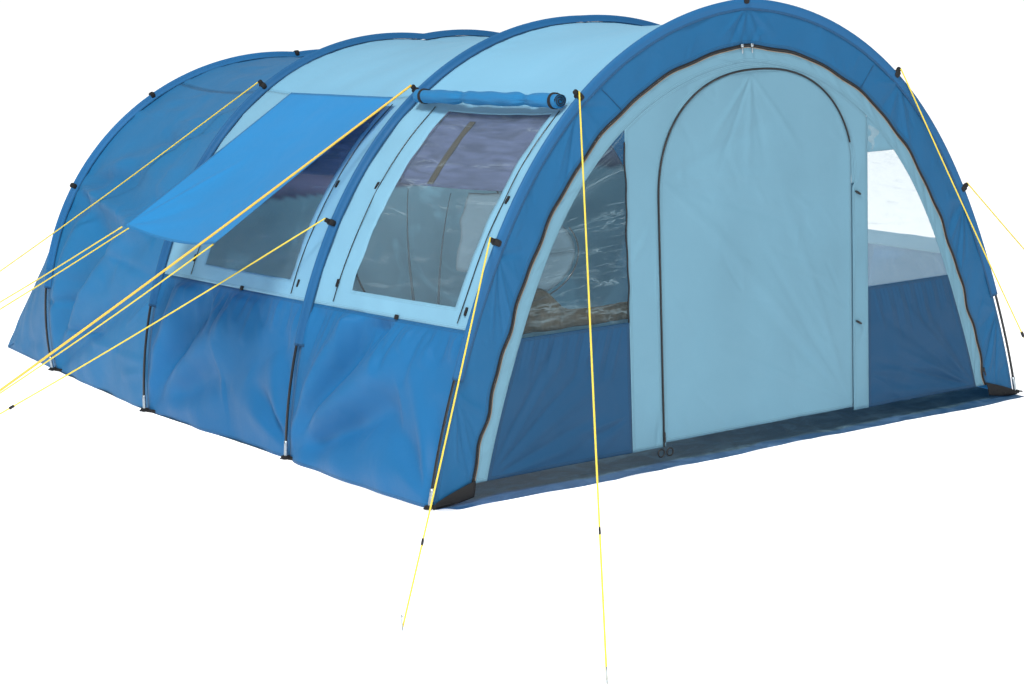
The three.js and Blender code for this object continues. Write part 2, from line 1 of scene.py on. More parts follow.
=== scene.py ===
"""Looks of a four-arch tunnel tent: its poles, sleeves, flysheet, windows, zips, awning, cabin and guy ropes.

All shapes are worked out in the tent's own plan, where the front arch's foot line has its middle at
zero, and are then moved to the frame's place. Metres, +Z up, +Y towards the rear, front wall facing -Y.
"""
import math

import bmesh
import bpy
import numpy as np
from mathutils import Matrix, Vector


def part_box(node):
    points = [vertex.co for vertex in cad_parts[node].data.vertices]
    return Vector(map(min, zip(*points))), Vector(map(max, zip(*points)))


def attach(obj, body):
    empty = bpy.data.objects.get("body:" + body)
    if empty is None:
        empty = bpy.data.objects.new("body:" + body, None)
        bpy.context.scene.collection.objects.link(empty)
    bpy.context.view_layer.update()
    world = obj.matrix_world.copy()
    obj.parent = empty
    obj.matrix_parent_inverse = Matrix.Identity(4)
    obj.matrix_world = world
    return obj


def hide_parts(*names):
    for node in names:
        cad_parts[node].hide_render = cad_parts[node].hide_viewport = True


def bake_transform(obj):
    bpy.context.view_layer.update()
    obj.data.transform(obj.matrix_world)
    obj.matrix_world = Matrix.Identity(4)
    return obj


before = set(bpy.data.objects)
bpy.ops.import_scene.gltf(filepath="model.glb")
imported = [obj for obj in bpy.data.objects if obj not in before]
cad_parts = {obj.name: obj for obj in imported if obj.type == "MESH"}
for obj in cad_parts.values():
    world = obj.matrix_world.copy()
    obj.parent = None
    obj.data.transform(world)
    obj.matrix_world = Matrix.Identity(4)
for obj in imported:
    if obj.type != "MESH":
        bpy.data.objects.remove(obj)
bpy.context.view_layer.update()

# ---- Where the tent stands in the frame ---------------------------------------------------------
_low, _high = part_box("front_pole")
PLACE = np.array([(_low.x + _high.x) / 2, (_low.y + _high.y) / 2, 0.0])
FRONT = (0, -1, 0)  # the way the front wall faces
INSIDE = np.array([0.0, 2.1, 0.7])  # a point inside the tent, for turning faces outwards

# Half width on the ground, crown height, shoulder, splay and the height where the sleeve stops.
ARCH_SHAPES = {
    "front": (1.722, 2.000, -0.108, -0.026, 0.522),
    "second": (1.741, 1.938, -0.013, -0.018, 0.522),
    "third": (1.783, 1.854, 0.060, -0.029, 0.548),
    "rear": (1.698, 1.748, 0.112, 0.011, 0.489),
}
ORDER = list(ARCH_SHAPES)
SIDES = {"left": -1, "right": 1}


def depth_of(node):
    """Distance of a node's middle behind the front arch."""
    low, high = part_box(node)
    return (low.y + high.y) / 2 - PLACE[1]


ARCH_BACK = {name: depth_of(f"{name}_pole") for name in ORDER}
POLE_RADIUS = 0.00635
SKIN_INSET = 0.022  # from a pole's middle in to the flysheet
SAG = 0.048  # dip of the flysheet between two arches
WALL_SEAM = 0.712
ROOF_SEAM = 1.612
WINDOW_SILL = 0.795
WINDOW_HEAD = 1.575
WINDOWS = {0: (0.165, 0.940), 1: (0.235, 1.073)}
REAR_LENGTH = 1.030
REAR_HALF_WIDTH = 1.600
REAR_HEM_SHARE = 0.985
REAR_CORNER_ANGLE = 0.62
FRONT_FACE = -0.0036  # front wall's outer face
HEM = 0.078
ZIP_INSET = 0.195
ZIP_HALF = 0.012
FRONT_ZIP_BAND = 0.0065  # half width of the black band that shows of the front zip
STRIP_INSET = 0.265
CENTRE = {"left": 0.680, "right": 0.720}  # centre panel's edges from the middle
FRONT_SILL = 0.655
DOOR_LEFT = 0.495
DOOR_RIGHT = 0.620
DOOR_SPRING = 1.150
DOOR_TOP = 1.689
DOOR_POWER = 2.3
DOOR_HEM = 0.096
HINGE_GAP = 0.0035  # from the hinge line to the centre panel
CLOTH = 0.0012
FILM = 0.0006  # thickness of film, netting and thin pleats
CLIP_HEIGHTS = (1.632, 1.064)
REAR_CLIP_HEIGHTS = (1.55, 1.06)
ROLL_RADIUS = 0.034

# Guy ropes from clip to peg, in metres of the tent's own plan.
GUYS = {
    "guy_front_left_upper": [(-0.920, -0.019, 1.658), (-1.415, -0.729, 1.094), (-1.911, -1.438, 0.546),
                             (-2.406, -2.148, 0.014)],
    "guy_front_left_lower": [(-1.375, 0.000, 1.090), (-1.790, -0.432, 0.720), (-2.204, -0.865, 0.361),
                             (-2.619, -1.297, 0.014)],
    "guy_second_left_upper": [(-0.985, 1.228, 1.664), (-1.920, 1.319, 1.098), (-2.854, 1.409, 0.548),
                              (-3.789, 1.500, 0.014)],
    "guy_second_left_lower": [(-1.471, 1.228, 1.089), (-1.952, 1.671, 0.719), (-2.433, 2.113, 0.360),
                              (-2.914, 2.556, 0.014)],
    "guy_third_left_upper": [(-1.011, 2.738, 1.658), (-1.491, 3.585, 1.092), (-1.970, 4.433, 0.544),
                             (-2.450, 5.280, 0.014)],
    "guy_third_left_lower": [(-1.541, 2.719, 1.088), (-1.944, 3.263, 0.718), (-2.347, 3.806, 0.360),
                             (-2.750, 4.350, 0.014)],
    "guy_awning_rear": [(-1.976, 2.386, 1.009), (-2.187, 3.177, 0.663), (-2.399, 3.969, 0.332),
                        (-2.610, 4.760, 0.014)],
    "guy_awning_front": [(-1.979, 1.352, 1.009), (-2.229, 1.901, 0.666), (-2.480, 2.451, 0.335),
                         (-2.730, 3.000, 0.014)],
    "guy_front_right_upper": [(0.920, -0.019, 1.658), (1.207, -0.073, 1.100), (1.493, -0.126, 0.552),
                              (1.780, -0.180, 0.014)],
    "guy_front_right_lower": [(1.375, 0.000, 1.090), (1.812, 0.033, 0.721), (2.250, 0.067, 0.363),
                              (2.687, 0.100, 0.014)],
    "guy_second_right_upper": [(0.972, 1.247, 1.658), (1.531, 1.598, 1.096), (2.091, 1.949, 0.548),
                               (2.650, 2.300, 0.014)],
    "guy_second_right_lower": [(1.471, 1.228, 1.089), (1.854, 1.512, 0.721), (2.237, 1.796, 0.363),
                               (2.620, 2.080, 0.014)],
    "guy_third_right_upper": [(1.011, 2.738, 1.658), (1.491, 3.525, 1.093), (1.970, 4.313, 0.545),
                              (2.450, 5.100, 0.014)],
    "guy_third_right_lower": [(1.541, 2.719, 1.088), (1.814, 3.239, 0.719), (2.087, 3.760, 0.361),
                              (2.360, 4.280, 0.014)],
}
DOUBLED_GUY = "guy_second_left_upper"
GUY_DIAMETER = 0.007
DOUBLED_DIAMETER = 0.011


# ---- Nodes and materials ------------------------------------------------------------------------
def plug(tree, made, inputs):
    """Gives a node's inputs links or plain values."""
    for key, value in inputs.items():
        if isinstance(value, bpy.types.NodeSocket):
            tree.links.new(value, made.inputs[key])
        else:
            made.inputs[key].default_value = value


def node(tree, kind, inputs=None, **settings):
    """Adds a shader node with its settings and its inputs."""
    made = tree.nodes.new(f"ShaderNode{kind}")
    for key, value in settings.items():
        setattr(made, key, value)
    plug(tree, made, inputs or {})
    return made


def maths(tree, operation, *values):
    """One operation on numbers or sockets."""
    return node(tree, "Math", dict(enumerate(values)), operation=operation).outputs[0]


def ramp(tree, value, low, high, first, last):
    """Carries a value from the range low..high to first..last and holds it at both ends."""
    ends = {"Value": value, "From Min": low, "From Max": high, "To Min": first, "To Max": last}
    return node(tree, "MapRange", ends).outputs[0]


def noise(tree, vector, scale, detail, **more):
    """Cloudy noise about a half."""
    return node(tree, "TexNoise", {"Vector": vector, "Scale": scale, "Detail": detail, **more}).outputs[0]


def blend_colours(tree, factor, first, second):
    """Mix of two colours: the first at factor zero, the second at one."""
    mix = node(tree, "Mix", data_type="RGBA", blend_type="MIX")
    plug(tree, mix, {0: factor, 6: first, 7: second})
    return mix.outputs[2]


def new_group(name, inputs, outputs):
    """A shader node group with named sockets, and its input and output nodes."""
    tree = bpy.data.node_groups.new(name, "ShaderNodeTree")
    for label, kind, value in inputs:
        socket = tree.interface.new_socket(label, in_out="INPUT", socket_type=f"NodeSocket{kind}")
        if value is not None:
            socket.default_value = value
    for label in outputs:
        tree.interface.new_socket(label, in_out="OUTPUT", socket_type="NodeSocketFloat")
    return tree, tree.nodes.new("NodeGroupInput"), tree.nodes.new("NodeGroupOutput")


def weave_group():
    """Plain weave: the sine of one thread direction times the sine of the other."""
    tree, given, out = new_group(
        "Plain weave", [("Cloth position", "Vector", None), ("Threads per metre", "Float", 700.0)],
        ["Height"])
    parts = node(tree, "SeparateXYZ", {0: given.outputs[0]}).outputs
    turn = maths(tree, "MULTIPLY", given.outputs[1], math.pi)
    warp, weft = (maths(tree, "SINE", maths(tree, "MULTIPLY", parts[k], turn)) for k in (0, 1))
    tree.links.new(maths(tree, "MULTIPLY", warp, weft), out.inputs[0])
    return tree


def crinkle_group():
    """Fine creases: a noise folded about its middle value, so that it has sharp valleys, plus soft waves."""
    tree, given, out = new_group(
        "Crinkle", [("Position", "Vector", None), ("Scale", "Float", 6.0)], ["Height", "Mask"])
    coarse = noise(tree, given.outputs[0], given.outputs[1], 3.0, Distortion=0.8)
    fold = maths(tree, "ABSOLUTE", maths(tree, "SUBTRACT", coarse, 0.5))
    fine = noise(tree, given.outputs[0], maths(tree, "MULTIPLY", given.outputs[1], 6.0), 2.0)
    tree.links.new(maths(tree, "ADD", fold, maths(tree, "MULTIPLY", fine, 0.25)), out.inputs[0])
    tree.links.new(coarse, out.inputs[1])
    return tree


def seam_group():
    """Doubled, stitched edge: a mask inside the turned hem, and two rows of stitches as short dashes."""
    tree, given, out = new_group(
        "Sewn edge",
        [("Edge distance", "Float", None), ("Cloth position", "Vector", None),
         ("Hem width", "Float", 0.014)],
        ["Hem", "Stitch"])
    edge, hem = given.outputs[0], given.outputs[2]
    inside = ramp(tree, edge, hem, maths(tree, "MULTIPLY", hem, 1.25), 1.0, 0.0)
    parts = node(tree, "SeparateXYZ", {0: given.outputs[1]})
    along = maths(tree, "ADD", parts.outputs[0], parts.outputs[1])
    dash = maths(tree, "GREATER_THAN", maths(tree, "SINE", maths(tree, "MULTIPLY", along, 1400.0)), -0.3)
    rows = []
    for share in (0.35, 0.8):
        off = maths(tree, "ABSOLUTE", maths(tree, "SUBTRACT", edge, maths(tree, "MULTIPLY", hem, share)))
        rows.append(maths(tree, "LESS_THAN", off, 0.0009))
    tree.links.new(inside, out.inputs[0])
    tree.links.new(maths(tree, "MULTIPLY", maths(tree, "MAXIMUM", *rows), dash), out.inputs[1])
    return tree


WEAVE = weave_group()
CRINKLE = crinkle_group()
SEWN = seam_group()


def linear(red, green, blue):
    """Screen colour from 0 to 255 as the linear colour that a shader takes."""
    share = np.array([red, green, blue]) / 255
    low, high = share / 12.92, ((share + 0.055) / 1.055) ** 2.4
    return (*np.where(share <= 0.04045, low, high).tolist(), 1.0)


def tint(colour, gain, lift=0.0):
    """A colour made lighter or darker, never above one."""
    return [min(1.0, part * gain + lift) for part in colour[:3]] + [1.0]


def start_material(name):
    """An empty material with its Principled shader."""
    made = bpy.data.materials.new(name)
    made.use_nodes = True
    tree = made.node_tree
    tree.nodes.clear()
    shader = node(tree, "BsdfPrincipled")
    node(tree, "OutputMaterial", {0: shader.outputs[0]})
    return made, tree, shader


def cloth_bump(tree, height, strength, distance):
    """Normal of a height field."""
    return node(tree, "Bump", {"Height": height, "Strength": strength, "Distance": distance}).outputs[0]


def varied(tree, colour, value, low, high):
    """A colour whose strength goes from low to high with a noise."""
    level = ramp(tree, value, 0.3, 0.7, low, high)
    return node(tree, "VectorMath", {0: colour[:3], "Scale": level}, operation="SCALE").outputs[0]


def cloth_material(name, colour, rough=0.6, hem=0.014, shade=0.72, mottle=0.08, glow=0.0):
    """Coated polyester: weave and creases in the bump, darker doubled hems with stitches, slight shading.

    Glow is the daylight that reaches the inner face through the cloth.
    """
    made, tree, shader = start_material(name)
    place = node(tree, "TexCoord").outputs
    edge = node(tree, "Attribute", attribute_name="edge").outputs["Fac"]
    weave = node(tree, "Group", node_tree=WEAVE)
    plug(tree, weave, {"Cloth position": place["UV"], "Threads per metre": 700.0})
    crease = node(tree, "Group", {"Position": place["Object"], "Scale": 5.0}, node_tree=CRINKLE).outputs
    sewn = node(tree, "Group", {"Edge distance": edge, "Cloth position": place["UV"], "Hem width": hem},
                node_tree=SEWN).outputs
    body = varied(tree, colour, noise(tree, place["Object"], 1.7, 5.0), 1 - mottle, 1 + mottle)
    hemmed = blend_colours(tree, sewn["Hem"], body, tint(colour, shade))
    stitched = maths(tree, "MULTIPLY", sewn["Stitch"], 0.7)
    final = blend_colours(tree, stitched, hemmed, tint(colour, 1.5, 0.02))
    relief = maths(tree, "ADD", maths(tree, "MULTIPLY", crease["Height"], 0.35),
                   maths(tree, "MULTIPLY", weave.outputs["Height"], 0.012))
    relief = maths(tree, "ADD", relief, maths(tree, "MULTIPLY", sewn["Hem"], 0.06))
    relief = maths(tree, "SUBTRACT", relief, maths(tree, "MULTIPLY", sewn["Stitch"], 0.05))
    plug(tree, shader, {
        "Base Color": final, "Emission Color": final, "Emission Strength": glow,
        "Roughness": ramp(tree, crease["Mask"], 0.3, 0.7, rough - 0.06, rough + 0.08),
        "Sheen Weight": 0.04, "Sheen Roughness": 0.45, "Specular IOR Level": 0.35,
        "Normal": cloth_bump(tree, relief, 0.6, 0.012)})
    return made


def film_material(name, haze=0.05, streaks=0.16, rarity=0.10, colour=(0.50, 0.64, 0.72, 1.0)):
    """Clear flexible film: mostly see-through, with opaque streaks along its creases that paint in glints of
    light, and a wet gloss.
    """
    made, tree, shader = start_material(name)
    place = node(tree, "TexCoord").outputs["UV"]
    total = None
    for turn, scale, width, low in ((0.10, (1.1, 9.0, 1.0), 0.030, 0.42),
                                    (-0.9, (2.2, 7.0, 1.0), 0.020, 0.52)):
        lie = node(tree, "Mapping", {"Vector": place, "Rotation": (0.0, 0.0, turn),
                                     "Scale": scale}).outputs[0]
        streak = noise(tree, lie, 3.0, 5.0, Roughness=0.6, Distortion=1.1)
        ridge = maths(tree, "ABSOLUTE", maths(tree, "SUBTRACT", streak, 0.5))
        line = ramp(tree, ridge, 0.0, width, 1.0, 0.0)
        # Painted glints: the streaks make the film opaque in its own colour along the crease lines.
        where = ramp(tree, noise(tree, lie, 1.6, 1.0), low + rarity, low + rarity + 0.16, 0.0, streaks)
        part = maths(tree, "MULTIPLY", line, where)
        total = part if total is None else maths(tree, "MAXIMUM", total, part)
    plug(tree, shader, {
        "Base Color": colour, "Roughness": 0.16, "Specular IOR Level": 0.45,
        "Alpha": maths(tree, "ADD", haze, total), "Normal": cloth_bump(tree, streak, 0.35, 0.006)})
    return made


def plain_material(name, colour, rough=0.5, metal=0.0, scale=60.0, grain=0.2, coat=0.0):
    """Moulded, webbed or metal trim: a fine grain in the bump and slight variation of tone and gloss."""
    made, tree, shader = start_material(name)
    speckle = noise(tree, node(tree, "TexCoord").outputs["Object"], scale, 4.0)
    plug(tree, shader, {
        "Base Color": varied(tree, colour, speckle, 0.85, 1.15),
        "Roughness": ramp(tree, speckle, 0.3, 0.7, rough - 0.08, rough + 0.08),
        "Metallic": metal, "Coat Weight": coat, "Normal": cloth_bump(tree, speckle, grain, 0.001)})
    return made


def rope_material(name, first, second):
    """Braided cord: two thread directions cross along the cord's own length, with a darker tracer."""
    made, tree, shader = start_material(name)
    parts = node(tree, "SeparateXYZ", {0: node(tree, "TexCoord").outputs["UV"]}).outputs
    along = maths(tree, "MULTIPLY", parts[0], 900.0)
    around = maths(tree, "MULTIPLY", parts[1], 2 * math.pi * 4)
    one, other = (maths(tree, "SINE", maths(tree, way, along, around)) for way in ("ADD", "SUBTRACT"))
    braid = maths(tree, "MULTIPLY", one, other)
    plug(tree, shader, {
        "Base Color": blend_colours(tree, ramp(tree, braid, 0.2, 0.8, 0.0, 0.55), first, second),
        "Roughness": 0.6, "Normal": cloth_bump(tree, braid, 0.5, 0.0008)})
    return made


def groundsheet_material(name, colour, border):
    """Woven coated sheet: mottled and scuffed, with pale patches that are part dusting and part painted
    sheen, and a sewn border of another colour at the front.
    """
    made, tree, shader = start_material(name)
    place = node(tree, "TexCoord").outputs
    band = node(tree, "Attribute", attribute_name="border").outputs["Fac"]
    cloud = noise(tree, place["Object"], 7.0, 9.0, Roughness=0.72, Distortion=1.2)
    # Pale patches on the sheet and on its border: part dusting, part painted sheen.
    dust_and_sheen = ramp(tree, cloud, 0.45, 0.72, 0.0, 0.75)
    body = blend_colours(tree, dust_and_sheen, colour, tint(colour, 3.2, 0.05))
    edging = blend_colours(tree, dust_and_sheen, border, tint(border, 1.6, 0.06))
    weave = node(tree, "Group", node_tree=WEAVE)
    plug(tree, weave, {"Cloth position": place["UV"], "Threads per metre": 400.0})
    relief = maths(tree, "ADD", cloud, maths(tree, "MULTIPLY", weave.outputs["Height"], 0.03))
    plug(tree, shader, {
        "Base Color": blend_colours(tree, band, body, edging),
        "Roughness": ramp(tree, cloud, 0.3, 0.7, 0.38, 0.62),
        "Normal": cloth_bump(tree, relief, 0.7, 0.012)})
    return made


def net_material(name, colour):
    """Fine netting: mostly opaque from a distance, with paler folds that fan across it."""
    made, tree, shader = start_material(name)
    place = node(tree, "TexCoord").outputs["UV"]
    lie = node(tree, "Mapping", {"Vector": place, "Rotation": (0.0, 0.0, 0.35), "Scale": (2.0, 11.0, 1.0)})
    folds = noise(tree, lie.outputs[0], 2.2, 4.0, Distortion=0.9)
    pale = ramp(tree, folds, 0.35, 0.68, 0.0, 1.0)
    plug(tree, shader, {
        "Base Color": blend_colours(tree, pale, colour, tint(colour, 1.7, 0.02)),
        "Roughness": 0.8, "Alpha": 0.82, "Normal": cloth_bump(tree, folds, 0.4, 0.01)})
    return made


def cabin_material(name, colour, mesh_colour):
    """Breathable cloth, with a band of dark netting where the netting attribute is one, and a faint glow of
    painted light.
    """
    made, tree, shader = start_material(name)
    place = node(tree, "TexCoord").outputs
    net = node(tree, "Attribute", attribute_name="netting").outputs["Fac"]
    cloud = noise(tree, place["Object"], 2.2, 5.0, Distortion=0.9)
    body = blend_colours(tree, ramp(tree, cloud, 0.50, 0.60, 0.0, 0.55), colour, tint(colour, 1.8))
    waves = {"Vector": place["Object"], "Scale": 1.6, "Distortion": 9.0, "Detail": 3.0}
    folds = node(tree, "TexWave", waves, bands_direction="Z").outputs[1]
    final = blend_colours(tree, net, body, blend_colours(tree, folds, mesh_colour,
                                                         tint(mesh_colour, 1.9, 0.02)))
    weave = node(tree, "Group", node_tree=WEAVE)
    plug(tree, weave, {"Cloth position": place["UV"], "Threads per metre": 450.0})
    relief = maths(tree, "ADD", cloud, maths(tree, "MULTIPLY", weave.outputs["Height"], 0.05))
    plug(tree, shader, {
        # Faint emission: painted light, the daylight that comes through the cabin's cloth.
        "Base Color": final, "Emission Color": final, "Emission Strength": 0.05, "Roughness": 0.85,
        "Normal": cloth_bump(tree, relief, 0.5, 0.02)})
    return made


# dark_cloth and light_cloth are the flysheet's two real colours; the other blue entries are copies of them,
# made lighter or darker to paint in the light and shade on their part of the tent.
CLOTHS = {
    "dark_cloth": ("Dark blue flysheet", linear(17, 104, 160), {}),
    # Sleeves: darker copy of the dark blue cloth, painted shade.
    "sleeve_cloth": ("Sleeve cloth with painted shade", linear(22, 92, 142), {"hem": 0.010, "shade": 0.5}),
    # Rear sleeve: lighter copy of the sleeve cloth, painted light.
    "rear_sleeve_lit_cloth": ("Rear sleeve cloth with painted light", linear(28, 106, 162), {"hem": 0.010, "shade": 0.5}),
    # Hood: darker copy of the dark blue cloth, painted shade.
    "hood_shaded_cloth": ("Hood cloth with painted shade", linear(10, 90, 137), {}),
    # Lower front panels: darker copy of the dark blue cloth, painted shade.
    "front_shaded_dark_cloth": ("Dark blue front cloth with painted shade", linear(6, 67, 105), {}),
    # Rear bay, rear wall and rolled covers: lighter copy of the dark blue cloth, painted light.
    "rear_lit_cloth": ("Rear bay cloth with painted light", linear(27, 116, 171), {}),
    "light_cloth": ("Light blue flysheet", linear(126, 179, 207), {"shade": 0.86, "mottle": 0.04}),
    # Roof: copy of the light blue cloth tuned to the light that falls on the roof, painted light.
    "roof_cloth": ("Light blue roof cloth with painted light", linear(124, 182, 213), {"shade": 0.86, "mottle": 0.04}),
    # Front strip, centre panel and door: darker copy of the light blue cloth, painted shade.
    "front_shaded_light_cloth": ("Light blue front cloth with painted shade", linear(103, 147, 168), {"shade": 0.86, "mottle": 0.05}),
    # Awning: lighter copy of the dark blue cloth, painted light.
    "awning_lit_cloth": ("Awning cloth with painted light", linear(32, 134, 199), {"mottle": 0.04}),
    "brown_cloth": ("Brown curtain cloth", linear(62, 56, 42), {"rough": 0.8}),
    "grey_cloth": ("Grey curtain cloth", linear(94, 122, 138), {"rough": 0.8}),
    # Pleats: dark strips that paint the shade in the curtain's folds.
    "pleat_shade_cloth": ("Painted pleat shade cloth", linear(40, 66, 80), {"rough": 0.8}),
}
MATERIALS = {
    **{key: cloth_material(name, colour, **more) for key, (name, colour, more) in CLOTHS.items()},
    # Inner faces: copies of each cloth that glow, painted light for the daylight that comes through the
    # cloth.
    **{f"{key}_inside": cloth_material(f"{name} inside", colour, glow=0.32, **more)
       for key, (name, colour, more) in CLOTHS.items()},
    "net": net_material("Insect netting", linear(62, 76, 110)),
    "cabin_cloth": cabin_material("Cabin cloth", linear(98, 140, 156), linear(64, 66, 92)),
    "clear_film": film_material("Clear window film"),
    "front_left_film": film_material("Creased window film", 0.05, 0.34, 0.02, (0.22, 0.34, 0.40, 1.0)),
    "front_right_film": film_material("Smooth window film", 0.24, 0.08, 0.12, (0.42, 0.58, 0.66, 1.0)),
    "groundsheet": groundsheet_material("Groundsheet", linear(50, 74, 84), linear(34, 84, 132)),
    "piping": plain_material("Tan piping", linear(150, 128, 104), rough=0.7, scale=300.0),
    "black_zip": plain_material("Black zip tape", linear(20, 22, 26), rough=0.65, scale=400.0, grain=0.5),
    "zip_teeth": plain_material("Zip coil", linear(16, 17, 20), rough=0.35, scale=200.0, coat=0.2),
    "webbing": plain_material("Black webbing", linear(18, 19, 22), rough=0.8, scale=500.0, grain=0.6),
    "black_plastic": plain_material("Black moulded plastic", linear(16, 17, 19), rough=0.45, scale=90.0),
    "pole": plain_material("Black pole coating", linear(16, 20, 24), rough=0.33, scale=30.0, grain=0.1,
                           coat=0.3),
    "steel": plain_material("Galvanised steel", linear(176, 186, 192), rough=0.35, metal=0.9, scale=120.0),
    "rope": rope_material("Yellow guy cord", linear(246, 222, 84), linear(224, 186, 50)),
    "doubled_rope": rope_material("Doubled guy cord", linear(244, 202, 82), linear(206, 150, 44)),
}


# ---- Meshes -------------------------------------------------------------------------------------
def point_values(mesh, label, values):
    """Gives a mesh a named value at each point."""
    data = mesh.attributes.new(label, "FLOAT", "POINT").data
    data.foreach_set("value", np.asarray(values, np.float32).ravel())


def placed_mesh(name, mesh, material, uv=None):
    """Puts a mesh in the scene, smooth, with its material and with uv given point by point."""
    mesh.shade_smooth()
    if uv is not None:
        corner = np.zeros(len(mesh.loops), np.int32)
        mesh.loops.foreach_get("vertex_index", corner)
        mesh.uv_layers.new(name="Cloth").data.foreach_set("uv", uv[corner].astype(np.float32).ravel())
    mesh.materials.append(MATERIALS[material])
    made = bpy.data.objects.new(name, mesh)
    bpy.context.scene.collection.objects.link(made)
    return made


def points_at(x, y, z):
    """Array of points from three coordinates, any of which may be a plain number."""
    return np.stack(np.broadcast_arrays(x, y, z), axis=-1).astype(float)


def grid_quads(rows, columns, keep=None, closed=False):
    """Point numbers of a grid's cells; keep is a mask of the cells that stay."""
    index = np.arange(rows * columns).reshape(rows, columns)
    if closed:
        index = np.concatenate([index, index[:, :1]], axis=1)
    cells = np.stack([index[:-1, :-1], index[1:, :-1], index[1:, 1:], index[:-1, 1:]], axis=-1)
    return cells.reshape(-1, 4) if keep is None else cells[keep]


def grid_normals(points):
    """Unit normals of a grid: the cross product of its two directions of travel."""
    along = np.gradient(points, axis=0)
    across = np.gradient(points, axis=1)
    normal = np.cross(along, across)
    length = np.linalg.norm(normal, axis=-1, keepdims=True)
    return normal / np.maximum(length, 1e-12)


def lengths(points, axis):
    """Running length along one direction of a grid, in metres."""
    step = np.linalg.norm(np.diff(points, axis=axis), axis=-1)
    pad = [(0, 0), (0, 0)]
    pad[axis] = (1, 0)
    return np.pad(np.cumsum(step, axis=axis), pad)


def border_distance(points):
    """Distance from each point of a grid to the grid's nearest edge, along the grid."""
    down, right = lengths(points, 0), lengths(points, 1)
    return np.minimum.reduce([down, down[-1:] - down, right, right[:, -1:] - right])


def sheet(name, points, material, nodes=(), relief=None, keep=None, edge=None, outward=None,
          body="tent", thickness=CLOTH, extra=None):
    """A cloth panel: a grid of points, pushed out along its normals by relief, with a real thickness."""
    normal = grid_normals(points)
    direction = points.reshape(-1, 3).mean(0) - INSIDE if outward is None else np.array(outward, float)
    turned = (normal @ direction).mean() < 0
    if turned:
        normal = -normal
    uv = np.stack([lengths(points, 1), lengths(points, 0)], axis=-1)
    distance = border_distance(points) if edge is None else edge
    if relief is not None:
        points = points + normal * relief[..., None]
    quads = grid_quads(*points.shape[:2], keep)
    if turned:
        quads = quads[:, ::-1]
    mesh = bpy.data.meshes.new(name)
    mesh.from_pydata((points.reshape(-1, 3) + PLACE).tolist(), [], quads.tolist())
    for label, values in {"edge": distance, **(extra or {})}.items():
        point_values(mesh, label, values)
    made = placed_mesh(name, mesh, material, uv.reshape(-1, 2))
    if keep is not None:
        drop_loose(made)
    wall = made.modifiers.new("Cloth", "SOLIDIFY")
    wall.thickness = thickness
    wall.offset = -1.0
    if f"{material}_inside" in MATERIALS:
        made.data.materials.append(MATERIALS[f"{material}_inside"])
        wall.material_offset = 1
    return settle(made, nodes, body)


def drop_loose(made):
    """Removes the points that no face uses."""
    work = bmesh.new()
    work.from_mesh(made.data)
    bmesh.ops.delete(work, geom=[v for v in work.verts if not v.link_faces], context="VERTS")
    work.to_mesh(made.data)
    work.free()


def settle(made, nodes=(), body="tent"):
    """Fixes a piece to its body, and hides the solids it stands for."""
    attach(made, body)
    if nodes:
        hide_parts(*nodes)
    return made


def sweep(path, section, twist_up=(0.0, 0.0, 1.0)):
    """Rings of a closed section carried along a path: the section's two axes stay square to the path."""
    path = np.asarray(path, float)
    ahead = np.gradient(path, axis=0)
    ahead /= np.linalg.norm(ahead, axis=1, keepdims=True)
    side = np.cross(ahead, np.broadcast_to(np.array(twist_up, float), ahead.shape))
    side /= np.maximum(np.linalg.norm(side, axis=1, keepdims=True), 1e-9)
    up = np.cross(side, ahead)
    section = np.asarray(section, float)
    if section.ndim == 2:
        section = np.broadcast_to(section, (len(path), *section.shape))
    return path[:, None] + section[..., :1] * side[:, None] + section[..., 1:2] * up[:, None]


def ring(radius, sides=10):
    """Circle of points for a tube's section."""
    angle = np.linspace(0, 2 * math.pi, sides, endpoint=False)
    return np.stack([radius * np.cos(angle), radius * np.sin(angle)], axis=-1)


def closed_tube(rings):
    """Points and quads of rings joined into a tube whose ends are closed by a point in the middle."""
    count, sides = rings.shape[:2]
    quads = grid_quads(count, sides, closed=True)
    ends = np.stack([rings[0].mean(0), rings[-1].mean(0)])
    points = np.concatenate([rings.reshape(-1, 3), ends])
    first = np.arange(sides)
    second = np.roll(first, -1)
    last = (count - 1) * sides
    centre = np.full(sides, count * sides)
    start = np.stack([centre, first, second], axis=-1)
    finish = np.stack([centre + 1, last + second, last + first], axis=-1)
    return points, quads.tolist() + start.tolist() + finish.tolist()


def solid_object(name, parts, material, uv=None):
    """One object from several closed shapes, each as points and faces, with its faces turned outwards."""
    points, faces, base = [], [], 0
    for these, those in parts:
        points.append(these)
        faces += [[k + base for k in face] for face in those]
        base += len(these)
    mesh = bpy.data.meshes.new(name)
    mesh.from_pydata((np.concatenate(points) + PLACE).tolist(), [], faces)
    work = bmesh.new()
    work.from_mesh(mesh)
    bmesh.ops.recalc_face_normals(work, faces=work.faces)
    work.to_mesh(mesh)
    work.free()
    return placed_mesh(name, mesh, material, uv)


def fixed(name, parts, material, nodes=(), body="tent"):
    """A solid object that rides on a body."""
    return settle(solid_object(name, parts, material), nodes, body)


def block(centre, size, turn=np.eye(3), soft=0.3):
    """A small moulded block: a rounded box, which is a sphere grid raised to a squarer power."""
    around = np.linspace(0, 2 * math.pi, 12, endpoint=False)
    upward = np.linspace(-math.pi / 2, math.pi / 2, 7)[1:-1]

    def squared(value):
        return np.sign(value) * np.abs(value) ** soft

    rings = np.stack([
        squared(np.cos(upward))[:, None] * squared(np.cos(around))[None],
        squared(np.cos(upward))[:, None] * squared(np.sin(around))[None],
        np.broadcast_to(squared(np.sin(upward))[:, None], (len(upward), len(around))),
    ], axis=-1) * np.array(size) / 2
    return closed_tube(rings @ np.asarray(turn).T + np.array(centre))


